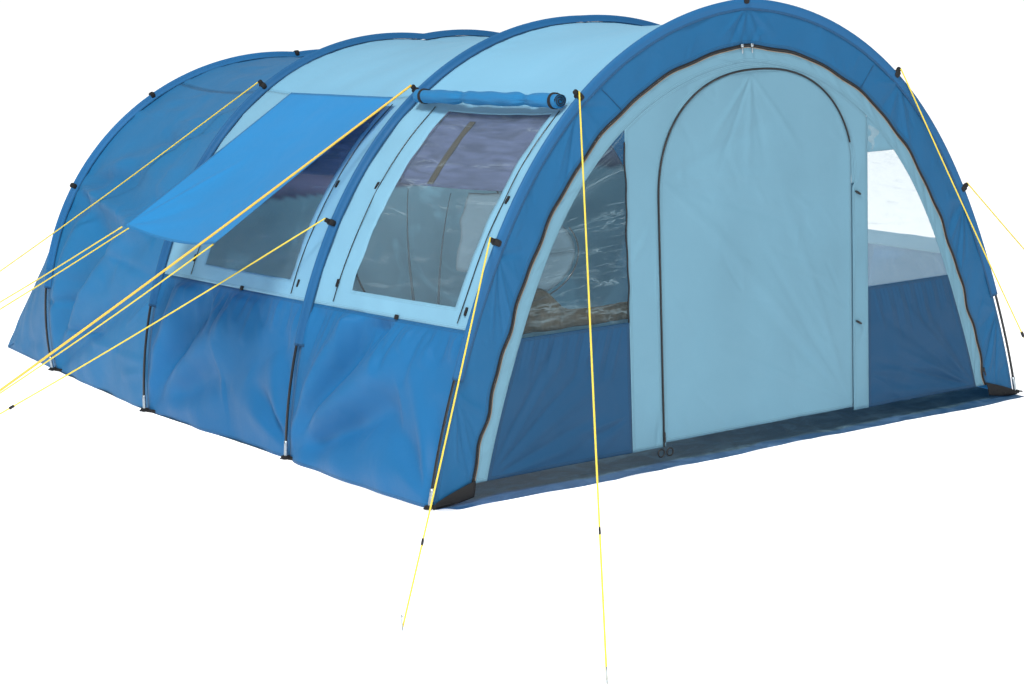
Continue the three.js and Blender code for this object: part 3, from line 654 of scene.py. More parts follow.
def rod(path, radius, sides=10, up=(0.0, 0.0, 1.0)):
    """Round closed tube along a path."""
    return closed_tube(sweep(path, ring(radius, sides), up))


# ---- Arch and flysheet geometry -----------------------------------------------------------------
def arch_point(arch, angle, inset=0.0):
    """Point of an arch: its radius is an ellipse-like rise plus a shoulder and a splay term."""
    half, height, shoulder, splay, _ = ARCH_SHAPES[arch]
    angle = np.asarray(angle, float)
    ground = np.minimum(angle, math.pi - angle)
    radius = half + (height - half) * np.sin(ground) ** 2 + shoulder * np.sin(2 * ground)
    radius = radius + splay * np.sin(4 * ground) - inset
    return -radius * np.cos(angle), radius * np.sin(angle)


def angle_at_height(arch, height, inset=0.0):
    """Angle at which an arch reaches a height, read from a table of its left half."""
    table = np.linspace(0, math.pi / 2, 1200)
    return np.interp(height, arch_point(arch, table, inset)[1], table)


def angle_at_width(arch, width, inset=0.0):
    """Angle at which an arch reaches a distance from the middle."""
    table = np.linspace(math.pi / 2, 0, 1200)
    return np.interp(width, -arch_point(arch, table, inset)[0], table)


def arch_path(arch, start, finish, count, inset=0.0):
    angle = np.linspace(start, finish, count)
    x, z = arch_point(arch, angle, inset)
    return points_at(x, ARCH_BACK[arch], z)


def skin_point(bay, u, front_angle, rear_angle, inset=SKIN_INSET):
    """Flysheet between two arches: a straight run from arch to arch that dips like a parabola."""
    front, rear = ORDER[bay], ORDER[bay + 1]
    x0, z0 = arch_point(front, front_angle, inset)
    x1, z1 = arch_point(rear, rear_angle, inset)
    angle = front_angle + u * (rear_angle - front_angle)
    dip = SAG * 4 * u * (1 - u) * np.sin(angle) ** 2
    x = x0 + u * (x1 - x0) + dip * np.cos(angle)
    z = z0 + u * (z1 - z0) - dip * np.sin(angle)
    y = ARCH_BACK[front] + u * (ARCH_BACK[rear] - ARCH_BACK[front]) + 0 * x
    return np.stack([x, y, z], axis=-1)


def bay_length(bay):
    """Distance between the two arches of a bay."""
    return ARCH_BACK[ORDER[bay + 1]] - ARCH_BACK[ORDER[bay]]


def wall_grid(bay, side, us, heights, inset=SKIN_INSET):
    """Side wall of a bay: rows at equal heights on both arches."""
    u, height = np.meshgrid(us, heights)
    angles = [angle_at_height(ORDER[bay + k], height, inset) for k in (0, 1)]
    if side == "right":
        angles = [math.pi - a for a in angles]
    return skin_point(bay, u, *angles, inset)


def on_wall(bay, side, back, height, proud=0.0):
    """A point on a side wall, given its distance behind the front arch and the row's height."""
    u = (back - ARCH_BACK[ORDER[bay]]) / bay_length(bay)
    return wall_grid(bay, side, np.atleast_1d(u), np.atleast_1d(height), SKIN_INSET - proud)[0, 0]


def falling(value, width):
    """Bell curve: one at zero, and e to the minus one at one width away."""
    return np.exp(-(value / width) ** 2)


def crease(s, t, start, finish, width, height):
    """A fold of cloth from start to finish: bell-shaped across, and fading at both ends."""
    start, finish = np.array(start, float), np.array(finish, float)
    run = finish - start
    length = math.hypot(*run)
    run = run / length
    along = ((s - start[0]) * run[0] + (t - start[1]) * run[1]) / length
    across = (s - start[0]) * run[1] - (t - start[1]) * run[0]
    fade = np.sin(math.pi * np.clip(along, 0, 1)) ** 0.6
    return height * falling(across, width * (0.6 + 0.8 * np.clip(along, 0, 1))) * fade


def fan(s, t, apex, directions, reach, width, height, seed):
    """Folds that spread from one point, turn and turn about outwards and inwards."""
    rng = np.random.default_rng(seed)
    total = np.zeros_like(s)
    for k, angle in enumerate(directions):
        angle = angle + rng.normal(0, 0.05)
        length = reach * rng.uniform(0.6, 1.0)
        tip = (apex[0] + length * math.cos(angle), apex[1] + length * math.sin(angle))
        total += crease(s, t, apex, tip, width * rng.uniform(0.7, 1.4),
                        height * (-1) ** k * rng.uniform(0.6, 1.2))
    return total


def ripples(s, t, seed, height, size, count=14, slant=None):
    """Soft waves: a sum of plane waves of about one size, in scattered or slanting directions."""
    rng = np.random.default_rng(seed)
    total = np.zeros_like(s)
    for _ in range(count):
        angle = rng.uniform(0, math.pi) if slant is None else rng.normal(slant, 0.25)
        pitch = size * rng.uniform(0.6, 1.8)
        total += np.sin(2 * math.pi * (s * math.cos(angle) + t * math.sin(angle)) / pitch
                        + rng.uniform(0, 6.3))
    return height * total / math.sqrt(count)


def scattered(s, t, seed, count, length, width, height, slant, spread=0.35):
    """Short separate folds lying about one direction, at random places on the panel."""
    rng = np.random.default_rng(seed)
    total = np.zeros_like(s)
    for k in range(count):
        x, y = rng.uniform(s.min(), s.max()), rng.uniform(t.min(), t.max())
        angle = rng.normal(slant, spread)
        half = length * rng.uniform(0.4, 1.0) / 2
        dx, dy = half * math.cos(angle), half * math.sin(angle)
        total += crease(s, t, (x - dx, y - dy), (x + dx, y + dy), width * rng.uniform(0.6, 1.4),
                        height * (-1) ** k * rng.uniform(0.5, 1.2))
    return total


def held_edges(points, reach=0.03, sides=(1, 1, 1, 1)):
    """Zero at the sewn edges of a grid and one inside: first row, last row, first column, last column."""
    down, right = lengths(points, 0), lengths(points, 1)
    gaps = (down, down[-1:] - down, right, right[:, -1:] - right)
    hold = np.ones(points.shape[:2])
    for gap, used in zip(gaps, sides):
        if used:
            hold = hold * np.clip(gap / reach, 0, 1)
    return hold


# ---- Camera, light and floor --------------------------------------------------------------------
EYE = np.array([-5.85, -6.909, 2.08]) + PLACE
YAW, PITCH, ROLL = math.radians(33.44), math.radians(-9.86), math.radians(-2.08)
LENS = 71.2


def make_camera():
    """Camera at EYE, turned by yaw, pitch and roll."""
    ahead = np.array([math.sin(YAW) * math.cos(PITCH), math.cos(YAW) * math.cos(PITCH), math.sin(PITCH)])
    right = np.array([math.cos(YAW), -math.sin(YAW), 0.0])
    up = np.cross(right, ahead)
    rolled_right = math.cos(ROLL) * right + math.sin(ROLL) * up
    rolled_up = -math.sin(ROLL) * right + math.cos(ROLL) * up
    data = bpy.data.cameras.new("camera")
    data.lens = LENS
    data.sensor_width = 36.0
    data.clip_end = 200.0
    camera = bpy.data.objects.new("camera", data)
    turn = Matrix(np.stack([rolled_right, rolled_up, -ahead], axis=1).tolist()).to_4x4()
    camera.matrix_world = Matrix.Translation(Vector(EYE.tolist())) @ turn
    bpy.context.scene.collection.objects.link(camera)
    bpy.context.scene.camera = camera


def area_light(name, place, target, size, power, colour=(1.0, 1.0, 1.0)):
    """Round soft lamp that the camera does not see."""
    data = bpy.data.lights.new(name, "AREA")
    data.shape = "DISK"
    data.size = size
    data.energy = power
    data.color = colour
    lamp = bpy.data.objects.new(name, data)
    lamp.location = place
    lamp.rotation_euler = (Vector(target) - Vector(place)).to_track_quat("-Z", "Y").to_euler()
    lamp.visible_camera = False
    bpy.context.scene.collection.objects.link(lamp)


def floor_material():
    made, tree, shader = start_material("Pale floor")
    seen = node(tree, "LightPath").outputs["Is Camera Ray"]
    plug(tree, shader, {
        "Base Color": (0.93, 0.94, 0.95, 1.0), "Roughness": 0.9, "Specular IOR Level": 0.1,
        "Emission Color": (1.0, 1.0, 1.0, 1.0), "Emission Strength": ramp(tree, seen, 0.0, 1.0, 0.5, 0.78)})
    return made


def make_stage():
    """White surroundings seen directly, a softer sky light, a high key from the left and a weak front
    fill.
    """
    world = bpy.data.worlds.new("studio")
    world.use_nodes = True
    tree = world.node_tree
    seen = node(tree, "LightPath").outputs["Is Camera Ray"]
    plug(tree, tree.nodes["Background"], {0: (0.96, 0.98, 1.0, 1.0),
                                          1: ramp(tree, seen, 0.0, 1.0, 0.44, 1.1)})
    bpy.context.scene.world = world
    bpy.context.scene.view_settings.view_transform = "Standard"
    area_light("key", (-6.0, -6.5, 11.0), (0.0, 0.0, 0.8), 3.0, 1250.0, (1.0, 0.99, 0.96))
    area_light("front_fill", (-3.0, -11.0, 3.5), (0.0, -2.0, 0.8), 6.0, 200.0)
    area_light("inside_glow", (0.0, -0.6, 1.60), (0.0, -0.6, 0.0), 1.6, 14.0)
    mesh = bpy.data.meshes.new("floor")
    half = 60.0
    mesh.from_pydata([(-half, -half, 0), (half, -half, 0), (half, half, 0), (-half, half, 0)], [],
                     [(0, 1, 2, 3)])
    mesh.materials.append(floor_material())
    floor = bpy.data.objects.new("floor", mesh)
    bpy.context.scene.collection.objects.link(floor)


make_camera()
make_stage()


# ---- Guy ropes ----------------------------------------------------------------------------------
def smooth_path(points, step):
    """Curve through a few points: each stretch is a cubic whose ends point along its neighbours."""
    points = np.array(points, float)
    before = np.concatenate([2 * points[:1] - points[1:2], points[:-1]])
    after = np.concatenate([points[1:], 2 * points[-1:] - points[-2:-1]])
    slope = (after - before) / 2
    pieces = []
    for k in range(len(points) - 1):
        count = max(2, int(np.linalg.norm(points[k + 1] - points[k]) / step))
        t = np.linspace(0, 1, count, endpoint=False)[:, None]
        pieces.append((2 * t**3 - 3 * t**2 + 1) * points[k] + (t**3 - 2 * t**2 + t) * slope[k]
                      + (-2 * t**3 + 3 * t**2) * points[k + 1] + (t**3 - t**2) * slope[k + 1])
    return np.concatenate([*pieces, points[-1:]])


def peg(name, place, away):
    """Steel peg with a hooked head, leaning away from the tent; only its part above the ground."""
    lean = np.array([away[0] * 0.30, away[1] * 0.30, 1.0])
    lean /= np.linalg.norm(lean)
    out = np.array([away[0], away[1], 0.0])
    foot = place + np.array([0.0, 0.0, -0.011]) + out * 0.004
    top = foot + lean * 0.045
    turn = np.linspace(0, math.pi * 0.9, 9)[:, None]
    hook = top + 0.010 * (out * (1 - np.cos(turn)) * -1 + lean * np.sin(turn))
    return solid_object(name, [rod(np.concatenate([[foot], hook]), 0.0026, 8, (-away[1], away[0], 0.0))],
                        "steel")


def settle_rope(made, name, nodes=()):
    """A rope rides on the tent; one tied to the awning keeps its place in the frame and rides on no body."""
    if "awning" in name:
        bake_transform(made)
    else:
        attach(made, "tent")
    if nodes:
        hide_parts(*nodes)


def guy_rope(name, route):
    """Rope along its route, with a peg at its end and a runner four fifths of the way down."""
    wide = DOUBLED_DIAMETER if name == DOUBLED_GUY else GUY_DIAMETER
    path = smooth_path(route, 0.03)
    sides = 8
    points, faces = rod(path, wide / 2, sides)
    run = lengths(path[:, None], 0)[:, 0]
    uv = np.stack(np.broadcast_arrays(run[:, None], np.arange(sides)[None] / sides), axis=-1).reshape(-1, 2)
    uv = np.concatenate([uv, [[0.0, 0.0], [run[-1], 0.0]]])
    rope = solid_object(name, [(points, faces)], "doubled_rope" if name == DOUBLED_GUY else "rope", uv)
    settle_rope(rope, name, [name])
    away = path[-1, :2] - path[0, :2]
    away /= np.linalg.norm(away)
    pin = settle(peg(f"{name}_peg", path[-1], away))
    ahead = path[12] - path[0]
    ahead /= np.linalg.norm(ahead)
    side = np.cross(ahead, (0, 0, 1))
    side /= np.linalg.norm(side)
    turn = np.stack([ahead, side, np.cross(side, ahead)], axis=1)
    spot = len(path) * 4 // 5
    runner = solid_object(f"{name}_runner", [block(path[spot], (0.034, 0.008, 0.015), turn, 0.5)],
                          "black_plastic")
    settle_rope(runner, name)


for rope_name, rope_route in GUYS.items():
    guy_rope(rope_name, rope_route)


# ---- Poles, sleeves, clips and feet -------------------------------------------------------------
def pole(arch):
    """Round tube along the arch, a little thicker at the ferrules that join its segments."""
    start = angle_at_height(arch, 0.004)
    path = arch_path(arch, start, math.pi - start, 260)
    run = lengths(path[:, None], 0)[:, 0]
    segment = run[-1] / 9
    swell = falling((run + segment / 2) % segment - segment / 2, 0.035) * 0.0009
    section = ring(1.0, 12)[None] * (POLE_RADIUS + swell)[:, None, None]
    tube = closed_tube(sweep(path, section, (0.0, 1.0, 0.0)))
    fixed(f"{arch}_pole_tube", [tube], "pole", [f"{arch}_pole"])


def rear_line(angle):
    """Unit direction of the rear wall's cloth where it leaves the rear arch."""
    x, z = arch_point("rear", angle, SKIN_INSET)
    across = np.clip((angle - REAR_CORNER_ANGLE) / (math.pi - 2 * REAR_CORNER_ANGLE), 0, 1)
    line = np.stack([(across * 2 - 1) * REAR_HALF_WIDTH - x, np.full_like(x, REAR_LENGTH), -z], axis=-1)
    return line / np.linalg.norm(line, axis=-1, keepdims=True)


SLEEVE_PROFILE = [(-0.034, -0.0205), (-0.029, -0.0202), (-0.022, -0.0195), (-0.0155, -0.015),
                  (-0.0105, -0.006),
                  (-0.0085, 0.004), (-0.0050, 0.0105), (0.0, 0.012), (0.0050, 0.0105), (0.0085, 0.004),
                  (0.0105, -0.006), (0.0155, -0.015), (0.022, -0.0195), (0.029, -0.0202), (0.034, -0.0205)]


def sleeve(arch):
    """Band of cloth carried along the arch: flat hems on both sides and a tunnel round the pole."""
    start = angle_at_height(arch, ARCH_SHAPES[arch][4])
    angle = np.linspace(start, math.pi - start, 420)
    profile = np.array(SLEEVE_PROFILE)
    x, z = arch_point(arch, angle)
    outward = np.stack([-np.cos(angle), np.zeros_like(angle), np.sin(angle)], axis=-1)
    middle = points_at(x, ARCH_BACK[arch], z)
    points = middle[:, None] + profile[None, :, :1] * np.array([0.0, 1.0,
                                                                0.0]) + profile[None, :, 1:] * outward[:,
                                                                                                       None]
    if arch == "front":
        bent = [(-0.0065, -0.040), (-0.0065, -0.032), (-0.0070, -0.024), (-0.0095, -0.012)]
        for k, (y, r) in enumerate(bent):
            points[:, k] = middle + np.array([0.0, y, 0.0]) + r * outward
    if arch == "rear":
        root = middle + outward * -0.0205 + np.array([0.0, 0.012, 0.0])
        for k, reach in ((-4, 0.004), (-3, 0.014), (-2, 0.024), (-1, 0.034)):
            points[:, k] = root + rear_line(angle) * reach + outward * 0.002
    run = lengths(points, 0)
    rng = np.random.default_rng(len(arch))
    pucker = ripples(run, np.broadcast_to(profile[:, 0], run.shape), rng.integers(1000), 0.0011, 0.055,
                     slant=0.0)
    pucker = pucker * np.clip(np.abs(profile[:, 0]) / 0.03, 0.25, 1.0)
    fine = np.concatenate([points[:, :1] * (1 - k) + points[:, 1:2] * k for k in (0.0, 0.5)], axis=1)
    points = np.concatenate([fine, points[:, 1:]], axis=1)
    pucker = np.concatenate([pucker[:, :1], pucker[:, :1], pucker[:, 1:]], axis=1)
    material = "rear_sleeve_lit_cloth" if arch == "rear" else "sleeve_cloth"
    sheet(f"{arch}_sleeve_band", points, material, [f"{arch}_sleeve"],
          relief=np.abs(pucker) * 0.8,
          outward=(0, -0.3, 1), thickness=0.001)


def arch_frame(arch, angle):
    """Axes at a point of an arch: outwards (square to the arch's slope), along the tent, and along the
    arch.
    """
    (x0, x1), (z0, z1) = arch_point(arch, [angle, angle + 0.001])
    outward = np.array([z0 - z1, 0.0, x1 - x0]) / math.hypot(x1 - x0, z1 - z0)
    along = np.array([0.0, 1.0, 0.0])
    return np.stack([outward, along, np.cross(outward, along)], axis=1)


def guy_clip(arch, angle):
    """Webbing collar over the sleeve with a moulded tongue that the rope is tied to."""
    x, z = arch_point(arch, angle)
    axes = arch_frame(arch, angle)
    place = np.array([float(x), ARCH_BACK[arch], float(z)])
    collar = block(place + axes[:, 0] * 0.004, (0.036, 0.040, 0.030), axes, 0.55)
    tongue = block(place + axes[:, 0] * 0.028, (0.026, 0.016, 0.022), axes, 0.45)
    return [collar, tongue]


def clips(arch):
    """Guy clips at two heights on both sides, and a collar on the crown of the outer arches."""
    parts = []
    rear = arch == "rear"
    for height in REAR_CLIP_HEIGHTS if rear else CLIP_HEIGHTS:
        angle = float(angle_at_height(arch, height))
        for place in (angle, math.pi - angle):
            parts += guy_clip(arch, place)[:1] if rear else guy_clip(arch, place)
    if arch in ("front", "rear"):
        parts += guy_clip(arch, math.pi / 2)[:1]
    fixed(f"{arch}_guy_clips", parts, "webbing")


def band(path, width_axis, width, thick):
    """Flat strap: a thin rectangle carried along a path, its width lying along the given axis."""
    path = np.asarray(path, float)
    axis = np.array(width_axis, float)
    ahead = np.gradient(path, axis=0)
    normal = np.cross(ahead, axis)
    normal /= np.maximum(np.linalg.norm(normal, axis=1, keepdims=True), 1e-9)
    corners = [(-1, -1), (1, -1), (1, 1), (-1, 1)]
    rings = np.stack([path + axis * a * width / 2 + normal * b * thick / 2 for a, b in corners], axis=1)
    return closed_tube(rings)


def torus(centre, radius, thick, axes):
    """Ring: a small circle carried round a large one in the plane of the first two axes."""
    turn = np.linspace(0, 2 * math.pi, 24, endpoint=False)
    angle = np.linspace(0, 2 * math.pi, 8, endpoint=False)
    away = radius + thick * np.cos(angle)[None]
    local = np.stack([away * np.cos(turn)[:, None], away * np.sin(turn)[:, None],
                      np.broadcast_to(thick * np.sin(angle)[None], (24, 8))], axis=-1)
    points = (local @ np.asarray(axes, float).T + centre).reshape(-1, 3)
    quads = grid_quads(24, 8, closed=True)
    wrap = np.stack([np.arange(8) + 23 * 8, np.arange(8), np.roll(np.arange(8), -1),
                     np.roll(np.arange(8), -1) + 23 * 8], axis=-1)
    return points, quads.tolist() + wrap.tolist()


def feet(arch):
    """Each pole end: a steel cap, a webbing tab with its ring, and a strap to the wall's corner."""
    caps, tabs = [], []
    back = ARCH_BACK[arch]
    for sign in SIDES.values():
        angles = angle_at_height(arch, np.array([0.004, 0.09]))
        x, z = arch_point(arch, angles)
        low = np.array([sign * -x[0], back, z[0]])
        high = np.array([sign * -x[1], back, z[1]])
        caps.append(rod(np.linspace(low, high, 6), 0.0088, 12, (0, 1, 0)))
        inner = low + np.array([-sign * 0.10, -0.012, 0.016])
        tabs.append(band(np.linspace(low + [sign * 0.012, -0.002, 0.006], inner, 8), (0, 1, 0), 0.030,
                         0.004))
        tabs.append(block(low + [0, 0, 0.010], (0.040, 0.034, 0.018), soft=0.5))
        if arch != "front":
            turn = np.array([sign * -0.030, -0.02, 0.0])
            strap = np.linspace(low + turn * 0.3 + [0, 0, 0.006], low + turn + [-sign * 0.02, -0.16, 0.012],
                                8)
            tabs.append(band(strap, (0.0, 0.0, 1.0), 0.016, 0.004))
        tabs.append(torus(low + np.array([sign * 0.020, -0.012, 0.010]), 0.013, 0.0022, np.eye(3)))
    fixed(f"{arch}_pole_caps", caps, "steel")
    fixed(f"{arch}_foot_straps", tabs, "webbing")


for arch_name in ORDER:
    pole(arch_name)
    sleeve(arch_name)
    clips(arch_name)
    feet(arch_name)


# ---- Flysheet -----------------------------------------------------------------------------------
def panel_st(points):
    """Running lengths across and down a panel."""
    return lengths(points, 1), lengths(points, 0)


def lower_wall(bay, side):
    """Dark wall from the ground to the window panel, with folds that rise from the two arch feet."""
    us = np.linspace(0.0, 1.0, 110)
    points = wall_grid(bay, side, us, np.linspace(0.0, WALL_SEAM, 70))
    s, t = panel_st(points)
    wide, tall = s.max(), t.max()
    seed = 40 + bay * 7 + SIDES[side]
    relief = fan(s, t, (wide, 0.02), np.radians([118, 133, 147, 160, 171]), 1.35, 0.085, 0.074, seed)
    relief += fan(s, t, (0.0, 0.05), np.radians([20, 38, 58, 74]), 0.7, 0.05, 0.026, seed + 1)
    relief += fan(s, t, (wide * 0.5, tall), np.radians([-60, -80, -100, -118]), 0.35, 0.02, 0.006, seed + 2)
    rng = np.random.default_rng(seed + 5)
    for k, x in enumerate(np.linspace(0.06, wide - 0.06, 15)):
        drop = rng.uniform(0.12, 0.30)
        relief += crease(s, t, (x, tall + 0.02), (x + drop * 0.25, tall - drop), 0.018, 0.012 * (-1) ** k)
    relief += ripples(s, t, seed + 3, 0.0060, 0.30)
    relief *= held_edges(points, 0.05, (0, 1, 1, 1))
    sheet(f"bay{bay + 1}_lower_wall_{side}_cloth", points, "dark_cloth",
          [f"bay{bay + 1}_lower_wall_{side}"], relief=relief)


def window_panel(bay, side):
    """Light panel with a window hole: the grid has lines on the hole's edges, and its cells are left out."""
    start, finish = WINDOWS[bay]
    long = bay_length(bay)
    us = np.concatenate([np.linspace(0, start, 12), np.linspace(start, finish, 50)[1:],
                         np.linspace(finish, long, 12)[1:]]) / long
    heights = np.concatenate([np.linspace(WALL_SEAM, WINDOW_SILL, 9),
                              np.linspace(WINDOW_SILL, WINDOW_HEAD, 50)[1:],
                              np.linspace(WINDOW_HEAD, ROOF_SEAM, 6)[1:]])
    points = wall_grid(bay, side, us, heights)
    s, t = panel_st(points)
    keep = np.ones((len(heights) - 1, len(us) - 1), bool)
    keep[8:57, 11:60] = False
    hole = np.maximum(np.maximum(s[:, 11:12] - s, s - s[:, 60:61]), np.maximum(t[8:9] - t, t - t[57:58]))
    edge = np.minimum(border_distance(points), np.abs(hole))
    relief = ripples(s, t, 70 + bay * 5 + SIDES[side], 0.0024, 0.16)
    relief += scattered(s, t, 80 + bay * 3 + SIDES[side], 26, 0.16, 0.012, 0.0032, 0.2)
    relief *= held_edges(points, 0.03)
    sheet(f"bay{bay + 1}_window_panel_{side}_cloth", points, "light_cloth",
          [f"bay{bay + 1}_window_panel_{side}"], relief=relief, keep=keep, edge=edge)


def window_pane(bay, side):
    """Clear film in the window, slack enough to wave."""
    start, finish = WINDOWS[bay]
    reach = 0.004
    us = np.linspace(start - reach, finish + reach, 60) / bay_length(bay)
    points = wall_grid(bay, side, us, np.linspace(WINDOW_SILL - reach, WINDOW_HEAD + reach, 60),
                       SKIN_INSET + 0.0016)
    s, t = panel_st(points)
    relief = ripples(s, t, 90 + bay + SIDES[side], 0.003, 0.22) * held_edges(points, 0.06)
    sheet(f"bay{bay + 1}_window_pane_{side}_film", points, "clear_film",
          [f"bay{bay + 1}_window_pane_{side}"], relief=relief, thickness=FILM)


def window_net(bay, side):
    """Netting behind the upper part of a window, with a sewn brown strip down it."""
    start, finish = WINDOWS[bay]
    long = bay_length(bay)
    us = np.linspace(start - 0.01, finish + 0.01, 40) / long
    points = wall_grid(bay, side, us, np.linspace(1.262, WINDOW_HEAD + 0.01, 24), SKIN_INSET + 0.014)
    s, t = panel_st(points)
    relief = ripples(s, t, 96 + bay, 0.0025, 0.12, slant=1.3) * held_edges(points, 0.04)
    sheet(f"bay{bay + 1}_window_net_{side}", points, "net", relief=relief, thickness=FILM)
    middle = start + (finish - start) * 0.72
    us = np.linspace(middle - 0.022, middle + 0.022, 6) / long
    points = wall_grid(bay, side, us, np.linspace(1.272, WINDOW_HEAD - 0.035, 24), SKIN_INSET + 0.011)
    sheet(f"bay{bay + 1}_net_strip_{side}", points, "brown_cloth", thickness=FILM)


def roof(bay):
    """Roof of a bay from one wall seam over the crown to the other, with shallow folds at the sleeves."""
    u, t = np.meshgrid(np.linspace(0.0, 1.0, 90), np.linspace(0.0, 1.0, 150))
    angles = []
    for k in (0, 1):
        low = angle_at_height(ORDER[bay + k], ROOF_SEAM, SKIN_INSET)
        angles.append(low + t * (math.pi - 2 * low))
    points = skin_point(bay, u, *angles)
    s, along = panel_st(points)
    relief = ripples(s, along, 110 + bay, 0.0030, 0.45)
    relief += ripples(s, along, 111 + bay, 0.0016, 0.10,
                      slant=1.45) * np.exp(-np.minimum(s, s.max() - s) / 0.12)
    if bay == 2:
        relief += scattered(s, along, 130, 16, 0.9, 0.03, 0.009, 0.15, 0.25)
    relief *= held_edges(points, 0.05)
    sheet(f"bay{bay + 1}_roof_cloth", points, "rear_lit_cloth" if bay == 2 else "roof_cloth",
          [f"bay{bay + 1}_roof"], relief=relief, outward=(0, 0, 1))


def rear_bay_wall(side):
    """Wall of the rear bay: long folds run from the third arch's foot and from the rear arch's clip."""
    points = wall_grid(2, side, np.linspace(0.0, 1.0, 120), np.linspace(0.0, ROOF_SEAM, 130))
    s, t = panel_st(points)
    wide = s.max()
    seed = 140 + SIDES[side]
    relief = fan(s, t, (wide, 0.03), np.radians([114, 129, 143, 156]), 1.7, 0.095, 0.085, seed)
    relief += fan(s, t, (wide, 1.12), np.radians([166, 179, 192, 205]), 1.35, 0.060, 0.048, seed + 1)
    relief += fan(s, t, (0.0, 1.12), np.radians([-24, -8, 10]), 0.9, 0.050, 0.030, seed + 2)
    relief += scattered(s, t, seed + 6, 22, 0.8, 0.030, 0.016, 3.0, 0.2)
    relief += ripples(s, t, seed + 3, 0.004, 0.4)
    relief *= held_edges(points, 0.05, (0, 1, 1, 1))
    sheet(f"bay3_wall_{side}_cloth", points, "rear_lit_cloth", [f"bay3_wall_{side}"], relief=relief)


def rear_point(angle, t, inset=SKIN_INSET):
    """Rear wall: straight lines from the rear arch to the foot line, gathered at the two rear corners."""
    x, z = arch_point("rear", angle, inset)
    across = np.clip((angle - REAR_CORNER_ANGLE) / (math.pi - 2 * REAR_CORNER_ANGLE), 0, 1)
    foot_x = (across * 2 - 1) * (REAR_HALF_WIDTH - (inset - SKIN_INSET))
    foot_y = REAR_LENGTH - (inset - SKIN_INSET)
    return np.stack([x + t * (foot_x - x), ARCH_BACK["rear"] + t * foot_y + 0 * x, z * (1 - t)], axis=-1)


def rear_wall():
    """Sloping rear wall with soft slanting folds, and small puckers under the arch."""
    angle, t = np.meshgrid(np.linspace(0.0, math.pi, 170), np.linspace(0.0, REAR_HEM_SHARE, 90))
    points = rear_point(angle, t)
    run = np.broadcast_to(lengths(points, 1)[:1], t.shape)
    down = t * 1.9
    relief = ripples(run, down, 160, 0.0040, 0.5)
    relief += scattered(run, down, 161, 24, 1.0, 0.05, 0.020, 1.35, 0.3)
    relief += ripples(run, down, 162, 0.0022, 0.11, slant=0.05) * np.exp(-down / 0.12)
    relief *= held_edges(points, 0.05, (1, 0, 1, 1))
    sheet("rear_wall_cloth", points, "rear_lit_cloth", ["rear_wall"], relief=relief,
          outward=(0, 1, 0.3))


for bay_number in (0, 1):
    for side_name in SIDES:
        lower_wall(bay_number, side_name)
        window_panel(bay_number, side_name)
        window_pane(bay_number, side_name)
    window_net(bay_number, "left")
for bay_number in (0, 1, 2):
    roof(bay_number)
for side_name in SIDES:
    rear_bay_wall(side_name)
rear_wall()


# ---- Front wall ---------------------------------------------------------------------------------
def front_arc(inset, height, count):
    """Angles of a curve set in from the front arch, from the left hem to the right hem."""
    start = float(angle_at_height("front", height, inset))
    return np.linspace(start, math.pi - start, count)


def zip_wave(angle):
    """How far the zip wanders from its arc: small waves that grow towards the ground."""
    low = np.exp(-np.minimum(angle, math.pi - angle) / 0.5)
    return (0.0022 + 0.0065 * low) * (np.sin(angle * 27 + 1.0) + 0.7 * np.sin(angle * 49 + 2.4))


def front_points(angle, inset, y=FRONT_FACE):
    x, z = arch_point("front", angle, inset)
    return points_at(x, y, z)


def ring_sheet(outer_inset, inner_inset, count, across, hems=(HEM, HEM)):
    """Grid between two curves set in from the front arch; its hem may climb from one curve to the other."""
    rows = []
    for k in np.linspace(0, 1, across):
        middle = outer_inset(math.pi / 2) * (1 - k) + inner_inset(math.pi / 2) * k
        angle = front_arc(float(middle), hems[0] * (1 - k) + hems[1] * k, count)
        inset = outer_inset(angle) * (1 - k) + inner_inset(angle) * k
        rows.append(front_points(angle, inset))
    return np.stack(rows, axis=1)


def hood():
    """Dark ring between the front arch and the zip: folds fan out from the clips and across the crown."""
    def outer(angle):
        return SKIN_INSET + 0.0 * angle

    def inner(angle):
        return ZIP_INSET - FRONT_ZIP_BAND + zip_wave(angle)

    points = ring_sheet(outer, inner, 520, 34, (0.012, HEM))
    run = lengths(points, 0)
    run = run - run[len(run) // 2]
    across = lengths(points, 1)
    wide = across.max()
    relief = fan(across, run, (0.0, 0.0), np.radians([-58, -38, -18, 0, 18, 38, 58]), 0.24, 0.010, 0.006,
                 201)
    relief += fan(across, run, (wide, 0.0), np.radians([180 - 50, 180 - 25, 180, 180 + 25, 180 + 50]), 0.2,
                  0.008, 0.004, 202)
    for k, height in enumerate((*CLIP_HEIGHTS, 0.52)):
        for sign in (-1, 1):
            angle = float(angle_at_height("front", height))
            spot = np.interp(angle, front_arc(0.1, HEM, 520), run[:, 0]) * -sign
            relief += fan(across, run, (0.0, spot), np.radians([-62, -40, -14, 12, 38, 60]), 0.28, 0.011,
                          0.006, 210 + k + sign)
    relief += scattered(across, run, 203, 60, 0.12, 0.008, 0.003, 0.15, 0.5)
    relief += ripples(across, run, 204, 0.002, 0.2)
    relief *= np.clip(across / 0.02, 0, 1) * np.clip((across[:, -1:] - across) / 0.02, 0, 1)
    sheet("front_hood_cloth", points, "hood_shaded_cloth", ["front_hood"], relief=relief, outward=FRONT)
    for label, angles in (("left", (1.125, 1.155)), ("right", (1.995, 1.975))):
        insets = np.linspace(SKIN_INSET + 0.03, ZIP_INSET - FRONT_ZIP_BAND, 10)
        line = front_points(np.linspace(*angles, 10), insets, FRONT_FACE - 0.0015)
        seam = solid_object(f"hood_seam_{label}", [rod(line, 0.0016, 6, (0, 1, 0))], "sleeve_cloth")
        settle(seam)


